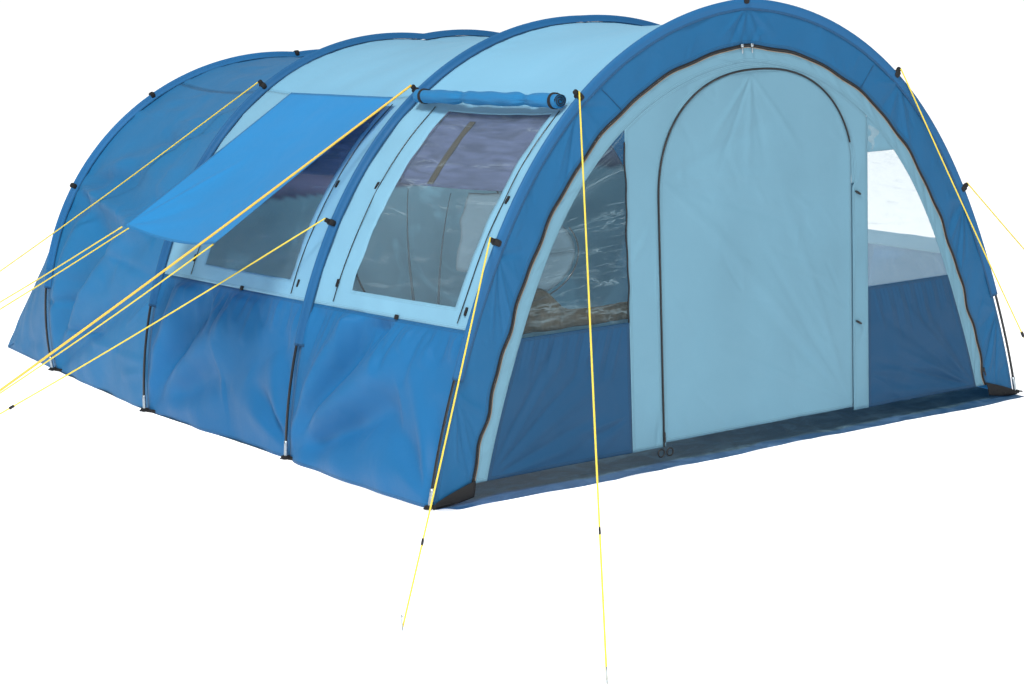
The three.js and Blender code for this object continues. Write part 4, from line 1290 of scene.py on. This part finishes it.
def coil(path, name):
    """Zip coil: a thin tube whose radius swells at every tooth."""
    run = lengths(path[:, None], 0)[:, 0]
    fine = np.arange(0, run[-1], 0.0022)
    line = np.stack([np.interp(fine, run, path[:, k]) for k in range(3)], axis=-1)
    radius = 0.0030 + 0.0008 * np.sign(np.sin(2 * math.pi * fine / 0.0088))
    tube = closed_tube(sweep(line, ring(1.0, 6)[None] * radius[:, None, None], (0, 1, 0)))
    fixed(name, [tube], "zip_teeth")


def front_zip():
    def edge(offset):
        return lambda angle: ZIP_INSET + offset + zip_wave(angle)

    points = ring_sheet(edge(-FRONT_ZIP_BAND), edge(FRONT_ZIP_BAND), 520, 5) - [0, 0.0012, 0]
    sheet("front_zip_tape", points, "black_zip", ["front_zip"], outward=FRONT)
    coil(points[:, 2] - [0, 0.002, 0], "front_zip_coil")
    piping = ring_sheet(edge(FRONT_ZIP_BAND + 0.001), edge(FRONT_ZIP_BAND + 0.004), 520, 3) - [0, 0.0016, 0]
    sheet("front_zip_piping", piping, "piping", outward=FRONT)


def door_curve(phi, grow=0.0):
    """Door edge at polar angle phi about the spring line's middle: a superellipse."""
    middle = (DOOR_RIGHT - DOOR_LEFT) / 2
    half = (DOOR_RIGHT + DOOR_LEFT) / 2 + grow
    rise = DOOR_TOP - DOOR_SPRING + grow
    radius = ((np.abs(np.cos(phi)) / half) ** DOOR_POWER
              + (np.abs(np.sin(phi)) / rise) ** DOOR_POWER) ** (-1 / DOOR_POWER)
    return middle + radius * np.cos(phi), DOOR_SPRING + radius * np.sin(phi)


def centre_outline(phi):
    """Outer edge of the centre panel at polar angle phi: its two upright sides or the strip's inner arc."""
    middle = (DOOR_RIGHT - DOOR_LEFT) / 2
    x, z = arch_point("front", np.linspace(0, math.pi, 2000), STRIP_INSET)
    seen = np.arctan2(z - DOOR_SPRING, x - middle)
    order = np.argsort(seen)
    arc = np.interp(phi, seen[order], np.hypot(z - DOOR_SPRING, x - middle)[order])
    cosine = np.cos(phi)
    right = np.where(cosine > 1e-3, (CENTRE["right"] - middle) / np.maximum(cosine, 1e-3), 9.0)
    left = np.where(cosine < -1e-3, (CENTRE["left"] + middle) / np.maximum(-cosine, 1e-3), 9.0)
    radius = np.minimum.reduce([arc, right, left])
    return middle + radius * cosine, DOOR_SPRING + radius * np.sin(phi)


def centre_points():
    """Centre panel round the door: upright legs below the spring line and a fan of rays above it."""
    zs = np.linspace(HEM, DOOR_SPRING, 60)[:-1]
    phi = np.linspace(math.pi, 0, 150)
    inner_x, inner_z = door_curve(phi, ZIP_HALF + 0.004)
    outer_x, outer_z = centre_outline(phi)
    inner_x = np.concatenate([np.full_like(zs, -DOOR_LEFT - ZIP_HALF - 0.004), inner_x,
                              np.full_like(zs, DOOR_RIGHT + HINGE_GAP)])
    inner_z = np.concatenate([zs, inner_z, zs[::-1]])
    outer_x = np.concatenate([np.full_like(zs, -CENTRE["left"]), outer_x, np.full_like(zs, CENTRE["right"])])
    outer_z = np.concatenate([zs, outer_z, zs[::-1]])
    share = np.linspace(0, 1, 24)[None]
    x = inner_x[:, None] * (1 - share) + outer_x[:, None] * share
    z = inner_z[:, None] * (1 - share) + outer_z[:, None] * share
    return points_at(x, FRONT_FACE, z)


def surround():
    """Light strip inside the zip, and the centre panel; both are one piece of cloth."""
    def outer(angle):
        return ZIP_INSET + FRONT_ZIP_BAND + zip_wave(angle)

    def inner(angle):
        return STRIP_INSET + 0.0 * angle

    strip = ring_sheet(outer, inner, 420, 14)
    run, across = lengths(strip, 0), lengths(strip, 1)
    relief = scattered(across, run, 221, 120, 0.10, 0.010, 0.0028, 0.3, 0.7) + ripples(across, run, 222,
                                                                                       0.0016, 0.12)
    relief *= np.clip(across / 0.01, 0, 1) * np.clip((across[:, -1:] - across) / 0.01, 0, 1)
    sheet("front_strip_cloth", strip, "front_shaded_light_cloth", relief=relief, outward=FRONT)
    points = centre_points()
    s, t = points[..., 0], points[..., 2]
    relief = ripples(s, t, 223, 0.0030, 0.35) + scattered(s, t, 224, 60, 0.30, 0.012, 0.0032, 1.2, 0.5)
    relief += fan(s, t, (0.03, 1.735), np.radians([-60, -80, -100, -120]), 0.4, 0.01, 0.004, 225)
    relief *= held_edges(points, 0.02)
    sheet("front_centre_cloth", points, "front_shaded_light_cloth", ["front_surround"], relief=relief,
          outward=FRONT)


def row_sheet(zs, left, right, columns):
    """Upright flat grid: each row runs from a left to a right edge that depend on its height."""
    share = np.linspace(0, 1, columns)[None]
    x = left[:, None] * (1 - share) + right[:, None] * share
    z = np.broadcast_to(zs[:, None], x.shape)
    return points_at(x, FRONT_FACE, z)


def strip_edge(zs):
    """Distance from the middle of the strip's inner edge at each height."""
    return -arch_point("front", angle_at_height("front", zs, STRIP_INSET), STRIP_INSET)[0]


def front_lower_panel(side):
    """Dark panel beside the door: gathered under the window, and drawn in long folds towards the zip's
    foot.
    """
    zs = np.linspace(HEM, FRONT_SILL, 90)
    points = row_sheet(zs, -strip_edge(zs), np.full_like(zs, -CENTRE[side]), 90)
    s, t = points[..., 0] + CENTRE[side], points[..., 2]
    low, wide = (s.min(), HEM), -s.min()
    seed = 240 + SIDES[side]
    relief = fan(s, t, low, np.radians([10, 19, 28, 37, 47, 58]), 0.95, 0.018, 0.009, seed)
    relief += fan(s, t, (0.0, 0.25), np.radians([188, 200, 212]), 0.6, 0.02, 0.006, seed + 1)
    gathers = np.linspace(-wide * 0.85, -0.03, 17)
    rng = np.random.default_rng(seed + 2)
    for k, x in enumerate(gathers):
        drop = rng.uniform(0.10, 0.28)
        relief += crease(s, t, (x, FRONT_SILL + 0.02), (x - drop * 0.35, FRONT_SILL - drop), 0.009,
                         0.005 * (-1) ** k)
    relief += ripples(s, t, seed + 3, 0.0030, 0.25)
    relief *= held_edges(points, 0.02, (0, 1, 1, 1))
    if side == "right":
        points = points * [-1, 1, 1]
    sheet(f"front_lower_panel_{side}_cloth", points, "front_shaded_dark_cloth",
          [f"front_lower_panel_{side}"],
          relief=relief, outward=FRONT)


def front_window(side):
    """Clear film above the sill: bounded by the strip's arc and the centre panel's upright edge."""
    meet = float(angle_at_width("front", CENTRE[side], STRIP_INSET))
    top = float(arch_point("front", meet, STRIP_INSET)[1])
    zs = FRONT_SILL + (top - FRONT_SILL) * np.sin(np.linspace(0, math.pi / 2, 70))
    points = row_sheet(zs, -np.maximum(strip_edge(zs), CENTRE[side]) - 0.003,
                       np.full_like(zs, -CENTRE[side] + 0.003), 50)
    points = points + [0, 0.0014, 0]
    s, t = points[..., 0], points[..., 2]
    relief = (ripples(s, t, 260 + SIDES[side], 0.0026, 0.14)
              + scattered(s, t, 261, 24, 0.3, 0.012, 0.004, -0.2)) * 0.7
    relief *= held_edges(points, 0.05)
    if side == "right":
        points = points * [-1, 1, 1]
    sheet(f"front_window_pane_{side}_film", points, f"front_{side}_film",
          [f"front_window_pane_{side}"],
          relief=relief, outward=FRONT, thickness=FILM)


def window_gusset():
    """Light cloth that closes the top corner of the right window, and the left window's zip."""
    meet = float(angle_at_width("front", CENTRE["right"], STRIP_INSET))
    top = float(arch_point("front", meet, STRIP_INSET)[1])
    zs = np.linspace(1.285, top, 24)
    points = row_sheet(zs, -strip_edge(zs) - 0.003, np.full_like(zs, -CENTRE["right"] + 0.003), 24)
    points = (points + [0, 0.0005, 0]) * [-1, 1, 1]
    s, t = points[..., 0], points[..., 2]
    relief = ripples(s, t, 265, 0.002, 0.06) * held_edges(points, 0.02)
    sheet("front_window_gusset", points, "front_shaded_light_cloth", relief=relief, outward=FRONT)
    zs = np.linspace(1.43, FRONT_SILL, 40)
    drift = 0.003 * np.sin(zs * 17) + 0.002 * np.sin(zs * 41)
    line = np.stack([-CENTRE["left"] - 0.004 + drift, np.full_like(zs, FRONT_FACE - 0.003), zs], axis=-1)
    fixed("front_window_zip", [rod(line, 0.0035, 8, (0, 1, 0))], "black_zip")


def door():
    """Door cloth: rows between the zip and the hinge line, closing over the arch; long slanting folds."""
    zs = np.concatenate([np.linspace(DOOR_HEM, DOOR_SPRING, 90),
                         DOOR_SPRING + (DOOR_TOP + 0.006 - DOOR_SPRING)
                         * np.sin(np.linspace(0, math.pi / 2, 60)[1:])])
    middle = (DOOR_RIGHT - DOOR_LEFT) / 2
    half = (DOOR_RIGHT + DOOR_LEFT) / 2 + 0.006
    rise = np.clip((zs - DOOR_SPRING) / (DOOR_TOP + 0.006 - DOOR_SPRING), 0, 1)
    width = half * (1 - rise**DOOR_POWER) ** (1 / DOOR_POWER)
    right = np.minimum(middle + width, DOOR_RIGHT - 0.0025)
    points = row_sheet(zs, middle - width, right, 120)
    s, t = points[..., 0], points[..., 2]
    relief = fan(s, t, (0.60, 0.12), np.radians([112, 122, 133, 144, 156]), 1.3, 0.022, 0.0055, 271)
    relief += fan(s, t, (-0.48, 1.25), np.radians([-40, -20, 0, 18]), 0.9, 0.022, 0.0045, 272)
    relief += fan(s, t, (0.03, 1.68), np.radians([-55, -75, -95, -115, -130]), 0.5, 0.014, 0.004, 273)
    relief += ripples(s, t, 274, 0.0040, 0.40) + scattered(s, t, 275, 40, 0.30, 0.014, 0.0028, 2.3, 0.4)
    relief *= held_edges(points, 0.03, (0, 1, 1, 1)) * np.clip((DOOR_RIGHT - s) / 0.10, 0, 1)
    sheet("door_cloth", points, "front_shaded_light_cloth", ["door"], relief=relief, outward=FRONT,
          body="door")


def door_zip():
    """Zip tape along the door's edge, its black band and its coil."""
    zs = np.linspace(HEM, DOOR_SPRING, 60)[:-1]
    phi = np.linspace(math.pi, 0.0, 190)
    seen = len(zs) + int(190 * (1 - 0.32 / math.pi))  # the black band ends above the hinge
    rows = []
    for grow in (0.0, ZIP_HALF, 2 * ZIP_HALF):
        x, z = door_curve(phi, grow)
        x = np.concatenate([np.full_like(zs, -DOOR_LEFT - grow), x])
        rows.append(np.stack([x, np.full_like(x, FRONT_FACE - 0.001), np.concatenate([zs, z])], axis=-1))
    points = np.stack(rows, axis=1)
    tape = points + [0, 0.0016, 0]
    sheet("door_zip_tape", tape, "front_shaded_light_cloth", ["door_zip"], outward=FRONT)
    narrow = (points[:, 1:2] + (points - points[:, 1:2]) * 0.36)[:seen]
    sheet("door_zip_band", narrow, "black_zip", outward=FRONT)
    coil(points[:seen, 1] - [0, 0.0015, 0], "door_zip_coil")


def hinge_welt():
    """Narrow strip of cloth behind the door's sewn edge."""
    x, z = np.meshgrid(np.linspace(DOOR_RIGHT - 0.001, DOOR_RIGHT + 0.030, 4),
                       np.linspace(HEM + 0.03, DOOR_SPRING, 40))
    sheet("door_hinge_welt", points_at(x, FRONT_FACE + 0.010, z), "front_shaded_light_cloth",
          outward=FRONT)


def inner_curtains():
    """Loose curtain cloth inside the left windows: a brown band on the sill, a pale lobe edged by a thin zip,
    and a pale drape in the first bay with two dark strips of painted shade where its pleats fold in."""
    share, rise = np.meshgrid(np.linspace(0.0, 1.0, 60), np.linspace(0.0, 1.0, 16))
    x = -strip_edge(np.full_like(share, 0.80)) - 0.02 + share * 0.74
    top = 0.735 + 0.11 * np.exp(-((share - 0.12) / 0.12) ** 2) + 0.03 * np.exp(-((share - 0.97) / 0.14) ** 2)
    points = np.stack([x, np.full_like(x, 0.045) + 0.01 * np.sin(share * 21), 0.66 + rise * (top - 0.66)],
                      axis=-1)
    relief = ripples(x, points[..., 2], 310, 0.006, 0.10, slant=0.3)
    sheet("front_sill_curtain", points, "brown_cloth", relief=relief, outward=FRONT)
    turn, reach = np.meshgrid(np.linspace(0.0, 2 * math.pi, 90), np.linspace(0.02, 1.0, 24))
    z = 0.985 + 0.185 * reach * np.sin(turn)
    x = np.maximum(-1.20 + 0.29 * reach * np.cos(turn), -strip_edge(z) - 0.02)
    points = points_at(x, 0.062, z)
    relief = ripples(x, z, 311, 0.010, 0.12, slant=0.2) * (1 - reach)
    sheet("front_curtain_lobe", points, "grey_cloth", relief=relief, outward=FRONT)
    turn = np.linspace(0.55, -2.0, 50)
    line = np.stack([-1.20 + 0.30 * np.cos(turn), np.full_like(turn, 0.050), 0.985 + 0.195 * np.sin(turn)],
                    axis=-1)
    fixed("front_curtain_zip", [rod(line, 0.003, 8, (0, 1, 0))], "zip_teeth")
    start, finish = WINDOWS[0]
    long = bay_length(0)
    heights = np.linspace(0.93, 1.25, 24)
    reach = 0.38 - 0.70 * (1.25 - heights) + 0.016 * np.sin(heights * 40)
    rows = [wall_grid(0, "left", (start + (finish - start) * np.linspace(-0.01, far, 20)) / long,
                      np.array([height, height + 0.001]), SKIN_INSET + 0.030)[0] for height,
                      far in zip(heights, reach)]
    points = np.stack(rows)
    s, t = panel_st(points)
    relief = ripples(s, t, 312, 0.006, 0.12, slant=1.4)
    sheet("bay1_curtain_left", points, "grey_cloth", relief=relief)
    # Two dark strips of painted shade in the drape's pleats.
    for number, (high, low, wide) in enumerate(((0.91, 0.39, 0.022), (0.50, 0.17, 0.018))):
        heights = np.linspace(1.24, 0.75, 30)
        fall = (1.24 - heights) / 0.49
        middle = start + (finish - start) * (high + (low - high) * fall)
        half = wide * (0.25 + 0.75 * fall) / 2
        rows = [wall_grid(0, "left", np.linspace(m - h, m + h, 5) / long, np.array([height, height + 0.001]),
                          SKIN_INSET + 0.020)[0] for height, m, h in zip(heights, middle, half)]
        sheet(f"bay1_pleat_shade_{number + 1}", np.stack(rows), "pleat_shade_cloth", thickness=FILM)


hood()
front_zip()
surround()
for side_name in SIDES:
    front_lower_panel(side_name)
    front_window(side_name)
window_gusset()
door()
door_zip()
hinge_welt()
inner_curtains()


# ---- Zip sliders --------------------------------------------------------------------------------
def slider(node_name, name, body, tilt):
    """Moulded slider with a bridge, a ring and a hanging pull tab."""
    low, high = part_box(node_name)
    centre = np.array([(low[k] + high[k]) / 2 for k in range(3)]) - PLACE
    turn = np.array([[math.cos(tilt), 0, math.sin(tilt)], [0, 1, 0], [-math.sin(tilt), 0, math.cos(tilt)]])
    parts = [block(centre + turn @ [0, 0.002, 0.008], (0.013, 0.005, 0.024), turn, 0.6),
             block(centre + turn @ [0, -0.0005, 0.010], (0.004, 0.004, 0.016), turn, 0.6),
             block(centre + turn @ [0, -0.002, -0.014], (0.008, 0.0022, 0.026), turn, 0.6)]
    fixed(name, parts, "black_plastic", [node_name], body)


slider("door_zip_slider", "door_slider_pull", "door_slider", 0.0)
slider("front_zip_slider", "front_slider_pull", "front_slider", -0.31)


# ---- Awning, rolled covers and small trim -------------------------------------------------------
def awning():
    """Propped window cover: a flat sheet that bellies between its corners, lowest along its outer edge."""
    low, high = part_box("awning")
    hinge_x, edge_x = high.x - PLACE[0], low.x - PLACE[0]
    from_y, to_y = low.y - PLACE[1], high.y - PLACE[1]
    v, u = np.meshgrid(np.linspace(0, 1, 90), np.linspace(0, 1, 90))
    belly = 4 * v * (1 - v)
    x = hinge_x + (edge_x - hinge_x) * (u - 0.035 * belly * u**3)
    z = high.z + (low.z - high.z) * u - 0.045 * belly * np.sin(u * math.pi * 0.62)
    y = from_y + (to_y - from_y) * (v + 0.018 * (0.5 - v) * 4 * u * (1 - u))
    points = np.stack([x, y, z], axis=-1)
    s, t = lengths(points, 1), lengths(points, 0)
    relief = fan(s, t, (0.0, t.max()), np.radians([-20, -38, -55, -72]), 0.7, 0.024, 0.006, 301)
    relief += fan(s, t, (s.max(), t.max()), np.radians([200, 218, 236, 252]), 0.7, 0.024, 0.006, 302)
    relief += ripples(s, t, 303, 0.0022, 0.3)
    relief *= held_edges(points, 0.03)
    made = sheet("awning_lit_cloth", points, "awning_lit_cloth", ["awning"], relief=relief,
                 outward=(-0.5, 0, 1), body="awning")


def cover_roll(node_name, bay, side):
    """Rolled window cover: a soft cylinder that narrows under its two ties, with its spiral end showing."""
    ends = []
    for k in (0, 1):
        arch = ORDER[bay + k]
        inset = SKIN_INSET - ROLL_RADIUS - 0.004
        x, z = arch_point(arch, float(angle_at_height(arch, 1.618, inset)), inset)
        ends.append(np.array([-SIDES[side] * float(x), ARCH_BACK[arch], float(z)]))
    run = (ends[1] - ends[0]) / np.linalg.norm(ends[1] - ends[0])
    line = np.linspace(ends[0] + run * 0.082, ends[1] - run * 0.082, 150)
    long = np.linalg.norm(line[-1] - line[0])
    along = np.linspace(0, 1, 150)
    around = np.linspace(0, 2 * math.pi, 28, endpoint=False)
    pinch = 0.36 * falling(along - 0.22, 0.035) + 0.36 * falling(along - 0.66, 0.035)
    fluff = 0.05 * np.sin(along[:, None] * 34 + 3 * around[None]) * (1 - 0.4 * np.cos(2 * around)[None])
    crush = 0.10 * falling(along - 0.22, 0.09)[:, None] * np.sin(9 * around)[None]
    crush = crush + 0.10 * falling(along - 0.66, 0.09)[:, None] * np.sin(8 * around + 1)[None]
    radius = ROLL_RADIUS * (0.98 - pinch[:, None] + fluff + crush)
    section = np.stack([radius * np.cos(around)[None], 0.9 * radius * np.sin(around)[None]], axis=-1)
    body = closed_tube(sweep(line, section))
    name = f"bay{bay + 1}_rolled_cover_{side}"
    uv_along = np.repeat(along * long, 28)
    uv = np.stack([uv_along, np.tile(around * ROLL_RADIUS, 150)], axis=-1)
    uv = np.concatenate([uv, [[0.0, 0.0], [long, 0.0]]])
    roll = solid_object(name, [body], "rear_lit_cloth", uv)
    point_values(roll.data, "edge", np.ones(len(roll.data.vertices)))
    settle(roll, [node_name])
    ties = []
    for share in (0.035, 0.955):
        spot = line[int(share * 149)]
        ties.append(closed_tube(sweep(np.array([spot - run * 0.009, spot + run * 0.009]),
                                      ring(ROLL_RADIUS * 1.04, 24))))
    spiral = np.linspace(0, 5 * math.pi, 60)
    side_axis = np.cross(run, (0, 0, 1))
    side_axis /= np.linalg.norm(side_axis)
    up_axis = np.cross(side_axis, run)
    reach = 0.006 + 0.026 * spiral[:, None] / spiral[-1]
    curl = line[0] - run * 0.003 + reach * (np.cos(spiral)[:, None] * side_axis + 0.9
                                            * np.sin(spiral)[:, None] * up_axis)
    ties.append(rod(curl, 0.0022, 6, run))
    fixed(f"{name}_ties", ties, "webbing")


def skin_line(bay, side, backs, heights, name, radius=0.0022, material="zip_teeth"):
    """Thin cord or zip lying on a side wall through a few given points."""
    marks = np.array([on_wall(bay, side, y, z, 0.005) for y, z in zip(backs, heights)])
    fixed(name, [rod(smooth_path(marks, 0.012), radius, 6)], material)


def wall_tab(bay, side, back, height, size=(0.006, 0.016, 0.038)):
    """Small black tab lying on a side wall."""
    place = on_wall(bay, side, back, height, 0.003)
    above = on_wall(bay, side, back, height + 0.02, 0.003)
    up = (above - place) / np.linalg.norm(above - place)
    along = np.array([0.0, 1.0, 0.0])
    out = np.cross(up, along)
    axes = np.stack([out / np.linalg.norm(out), along, up], axis=1)
    return block(place, size, axes, 0.35)


def window_trim(bay, side):
    """Zips that the rolled cover closes on, wandering a little, with the black tabs beside them."""
    start, finish = WINDOWS[bay]
    base = ARCH_BACK[ORDER[bay]]
    heights = np.linspace(0.735, 1.585, 8)
    rng = np.random.default_rng(320 + bay * 2 + SIDES[side])
    for label, back in (("front", start - 0.055), ("rear", finish + 0.105)):
        drift = np.cumsum(rng.normal(0, 0.003, 8))
        skin_line(bay, side, base + back + drift - drift.mean(), heights,
                  f"bay{bay + 1}_cover_zip_{side}_{label}")
    tabs = [(finish + 0.125, 1.24), (start - 0.075, 1.23), (finish + 0.12, 0.815), (start - 0.085, 0.785)]
    parts = [wall_tab(bay, side, base + back, height) for back, height in tabs]
    parts.append(wall_tab(bay, side, base + (start + finish) / 2, WALL_SEAM + 0.006, (0.006, 0.030, 0.022)))
    fixed(f"bay{bay + 1}_cover_tabs_{side}", parts, "webbing")


def awning_toggles():
    """Toggles with short tails at the awning's upper edge."""
    parts = []
    for back in (2.02, 1.63):
        place = on_wall(1, "left", back, 1.60, 0.014)
        parts.append(block(place, (0.010, 0.034, 0.012), soft=0.6))
        parts.append(rod(np.array([place, place + [-0.012, 0.006, -0.030]]), 0.0022, 6, (0, 1, 0)))
    fixed("awning_toggles", parts, "black_plastic")


def front_trim():
    """Door toggles, the two pulls at the crown of the front zip and the pulls at the door's foot."""
    y = FRONT_FACE - 0.006
    parts = []
    for x, z in ((0.655, 1.103), (0.655, 0.495)):
        parts.append(block((x, y, z), (0.040, 0.010, 0.010), np.array(Matrix.Rotation(0.5, 3, "Y")), 0.6))
    crown = float(arch_point("front", math.pi / 2, ZIP_INSET)[1])
    pulls = []
    for x in (-0.030, 0.026):
        pulls.append(block((x, y - 0.002, crown + 0.002), (0.014, 0.010, 0.016), soft=0.5))
        pulls.append(block((x, y - 0.004, crown - 0.020), (0.007, 0.003, 0.026), soft=0.5))
    fixed("crown_pulls", pulls, "steel")
    foot = np.array([-DOOR_LEFT - ZIP_HALF, y, HEM - 0.004])
    upright = np.array([[1.0, 0.0, 0.0], [0.0, 0.0, 1.0], [0.0, -1.0, 0.0]])
    for dx in (-0.024, 0.024):
        parts.append(torus(foot + np.array([dx, -0.004, -0.020]), 0.017, 0.0035, upright))
    fixed("front_toggles", parts, "black_plastic")
    for side, sign in SIDES.items():
        share = np.linspace(0, 1, 16)
        top = np.stack([-1.705 + 0.205 * share, np.full(16, -0.013), 0.022 + 0.070 * share**0.8], axis=-1)
        low = np.stack([-1.715 + 0.200 * share, np.full(16, -0.020), 0.004 + 0.022 * share**2], axis=-1)
        rows = np.linspace(0, 1, 8)[None, :, None]
        points = top[:, None] * (1 - rows) + low[:, None] * rows
        points[..., 1] -= 0.004 * np.sin(math.pi * rows[..., 0]) * share[:, None]
        points = points * [-sign, 1, 1]
        sheet(f"front_corner_patch_{side}", points, "webbing", outward=FRONT, thickness=0.003)


awning()
for roll_node, roll_bay, roll_side in (("bay1_cover_roll_left", 0, "left"),
                                       ("bay1_cover_roll_right", 0, "right"),
                                       ("bay2_cover_roll_right", 1, "right")):
    cover_roll(roll_node, roll_bay, roll_side)
for bay_number in WINDOWS:
    for side_name in SIDES:
        window_trim(bay_number, side_name)
awning_toggles()
front_trim()


# ---- Groundsheet and cabin ----------------------------------------------------------------------
def groundsheet():
    """Flat sheet under the tent: each row spans the tent's width there, with low ripples in the cloth."""
    low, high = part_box("groundsheet")
    front_y, rear_y = low.y - PLACE[1], high.y - PLACE[1]
    edge_gap = 0.020
    marks = [front_y, *ARCH_BACK.values(), rear_y]
    halves = [ARCH_SHAPES["front"][0] - edge_gap, *(ARCH_SHAPES[a][0] - edge_gap for a in ORDER),
              REAR_HALF_WIDTH - 2 * edge_gap]
    ys = np.concatenate([np.linspace(front_y, 0.3, 60), np.linspace(0.3, rear_y, 80)[1:]])
    half = np.interp(ys, marks, halves)
    share = np.linspace(-1, 1, 260)[None]
    x = half[:, None] * share
    y = np.broadcast_to(ys[:, None], x.shape) + 0
    front = np.exp(-(y - front_y) / 0.12)
    y = y + front * (0.010 * np.sin(x * 3.1 + 0.6) + 0.006 * np.sin(x * 8.3)) + 0.010 * front
    wave = ripples(x, y, 401, 0.0022, 0.22) + scattered(x, y, 402, 60, 0.5, 0.012, 0.004, 0.05, 0.3)
    wave += scattered(np.where(x > 0.6, x, 9.0), y, 403, 80, 0.35, 0.010, 0.006, 0.1, 0.3)
    curl = 0.022 * np.exp(-((x + half[:, None]) / 0.05) ** 2) * np.exp(-((y - front_y) / 0.05) ** 2)
    z = 0.0015 + np.abs(wave) + curl
    points = np.stack([x, y, z], axis=-1)
    deep = 0.075 + 0.05 * np.exp(-(x + 1.7) / 0.8) + 0.012 * np.sin(x * 9.0) + 0.008 * np.sin(x * 23.0)
    border = (1 - np.clip((y - front_y - deep) / 0.03, 0, 1)) * (0.55 + 0.45 * np.exp(-(x + 1.7) / 0.9))
    made = sheet("groundsheet_cloth", points, "groundsheet", ["groundsheet"],
                 outward=(0, 0, 1),
                 extra={"border": border}, thickness=0.0008)


CABIN_INSET = SKIN_INSET + 0.095
CABIN_FOOT = 0.0036
CABIN_BACK = 0.062  # from the third arch to the cabin's front


def cabin_body():
    """Inner room: the flysheet's shape set further in, hanging a little slack."""
    start = (CABIN_BACK + 0.004) / bay_length(2)
    angle, u = np.meshgrid(np.linspace(0, math.pi, 120), np.linspace(start, 1, 40), indexing="ij")
    front = skin_point(2, u, angle, angle, CABIN_INSET)
    angle, t = np.meshgrid(np.linspace(0, math.pi, 120), np.linspace(0, 0.84, 26)[1:], indexing="ij")
    points = np.concatenate([front, rear_point(angle, t, CABIN_INSET)], axis=1) + [0, 0, CABIN_FOOT]
    s, t = lengths(points, 1), lengths(points, 0)
    relief = -np.abs(ripples(s, t, 421, 0.006, 0.35)) * held_edges(points, 0.05)
    netting = np.zeros(points.shape[:2])
    sheet("cabin_body_cloth", points, "cabin_cloth", ["cabin_body"], relief=relief,
          outward=(0, 0, 1),
          extra={"netting": netting})


def cabin_front():
    """Inner front: a grid of rays from the doorway's edge to the cabin's outline; netting above the waist."""
    back = ARCH_BACK["third"] + CABIN_BACK
    u = CABIN_BACK / bay_length(2)
    phi = np.linspace(-math.pi / 2, 3 * math.pi / 2, 260)
    centre = np.array([0.0, 0.80])
    angle = np.linspace(0, math.pi, 900)
    edge = skin_point(2, u, angle, angle, CABIN_INSET)
    seen = np.arctan2(edge[:, 2] - centre[1], edge[:, 0])
    seen = np.where(seen < -math.pi / 2, seen + 2 * math.pi, seen)
    order = np.argsort(seen)
    far = np.interp(phi, seen[order], np.hypot(edge[:, 0], edge[:, 2] - centre[1])[order])
    floor_reach = np.where(np.sin(phi) < -1e-3, centre[1] / np.maximum(-np.sin(phi), 1e-3), 9.0)
    far = np.minimum(far, floor_reach)
    near = np.minimum(0.52 / np.maximum(np.abs(np.cos(phi)), 1e-3),
                      0.74 / np.maximum(-np.sin(phi), 1e-3) * (np.sin(phi) < 0)
                      + 9.0 * (np.sin(phi) >= 0))
    crown = 0.160
    reach = crown * np.sin(phi) + np.sqrt(np.maximum(0.52**2 - (crown * np.cos(phi)) ** 2, 0))
    near = np.where(np.sin(phi) > 0.29, reach, near)
    share = np.linspace(0, 1, 40)[None]
    radius = near[:, None] * (1 - share) + far[:, None] * share
    x, z = radius * np.cos(phi)[:, None], centre[1] + radius * np.sin(phi)[:, None]
    points = np.stack([x, np.full_like(x, back), np.maximum(z, 0.0) + CABIN_FOOT], axis=-1)
    relief = ripples(x, z, 431, 0.008, 0.35) * np.clip((1 - share) / 0.1, 0, 1) * np.clip(share / 0.05, 0, 1)
    netting = np.clip((z - 1.02) / 0.01, 0, 1)
    sheet("cabin_front_cloth", points, "cabin_cloth", ["cabin_front"], relief=relief,
          outward=FRONT,
          extra={"netting": netting})
    x, z = np.meshgrid(np.linspace(-0.53, 0.53, 90), np.linspace(0.05, 1.49, 90))
    flap = points_at(x, back + 0.012, z)
    relief = ripples(x, z, 432, 0.008, 0.25, slant=0.1) * held_edges(flap, 0.04)
    sheet("cabin_door_flap", flap, "cabin_cloth", relief=relief, outward=FRONT,
          extra={"netting": np.clip((z - 1.02) / 0.01, 0, 1)})
    turn = np.linspace(-0.25 * math.pi, 1.25 * math.pi, 90)
    line = np.stack([0.50 * np.cos(turn), np.full_like(turn, back - 0.006), 0.80 + 0.60 * np.sin(turn)],
                    axis=-1)
    fixed("cabin_door_zip", [rod(line, 0.006, 6, (0, 1, 0))], "webbing")


groundsheet()
cabin_body()
cabin_front()

bpy.context.view_layer.update()
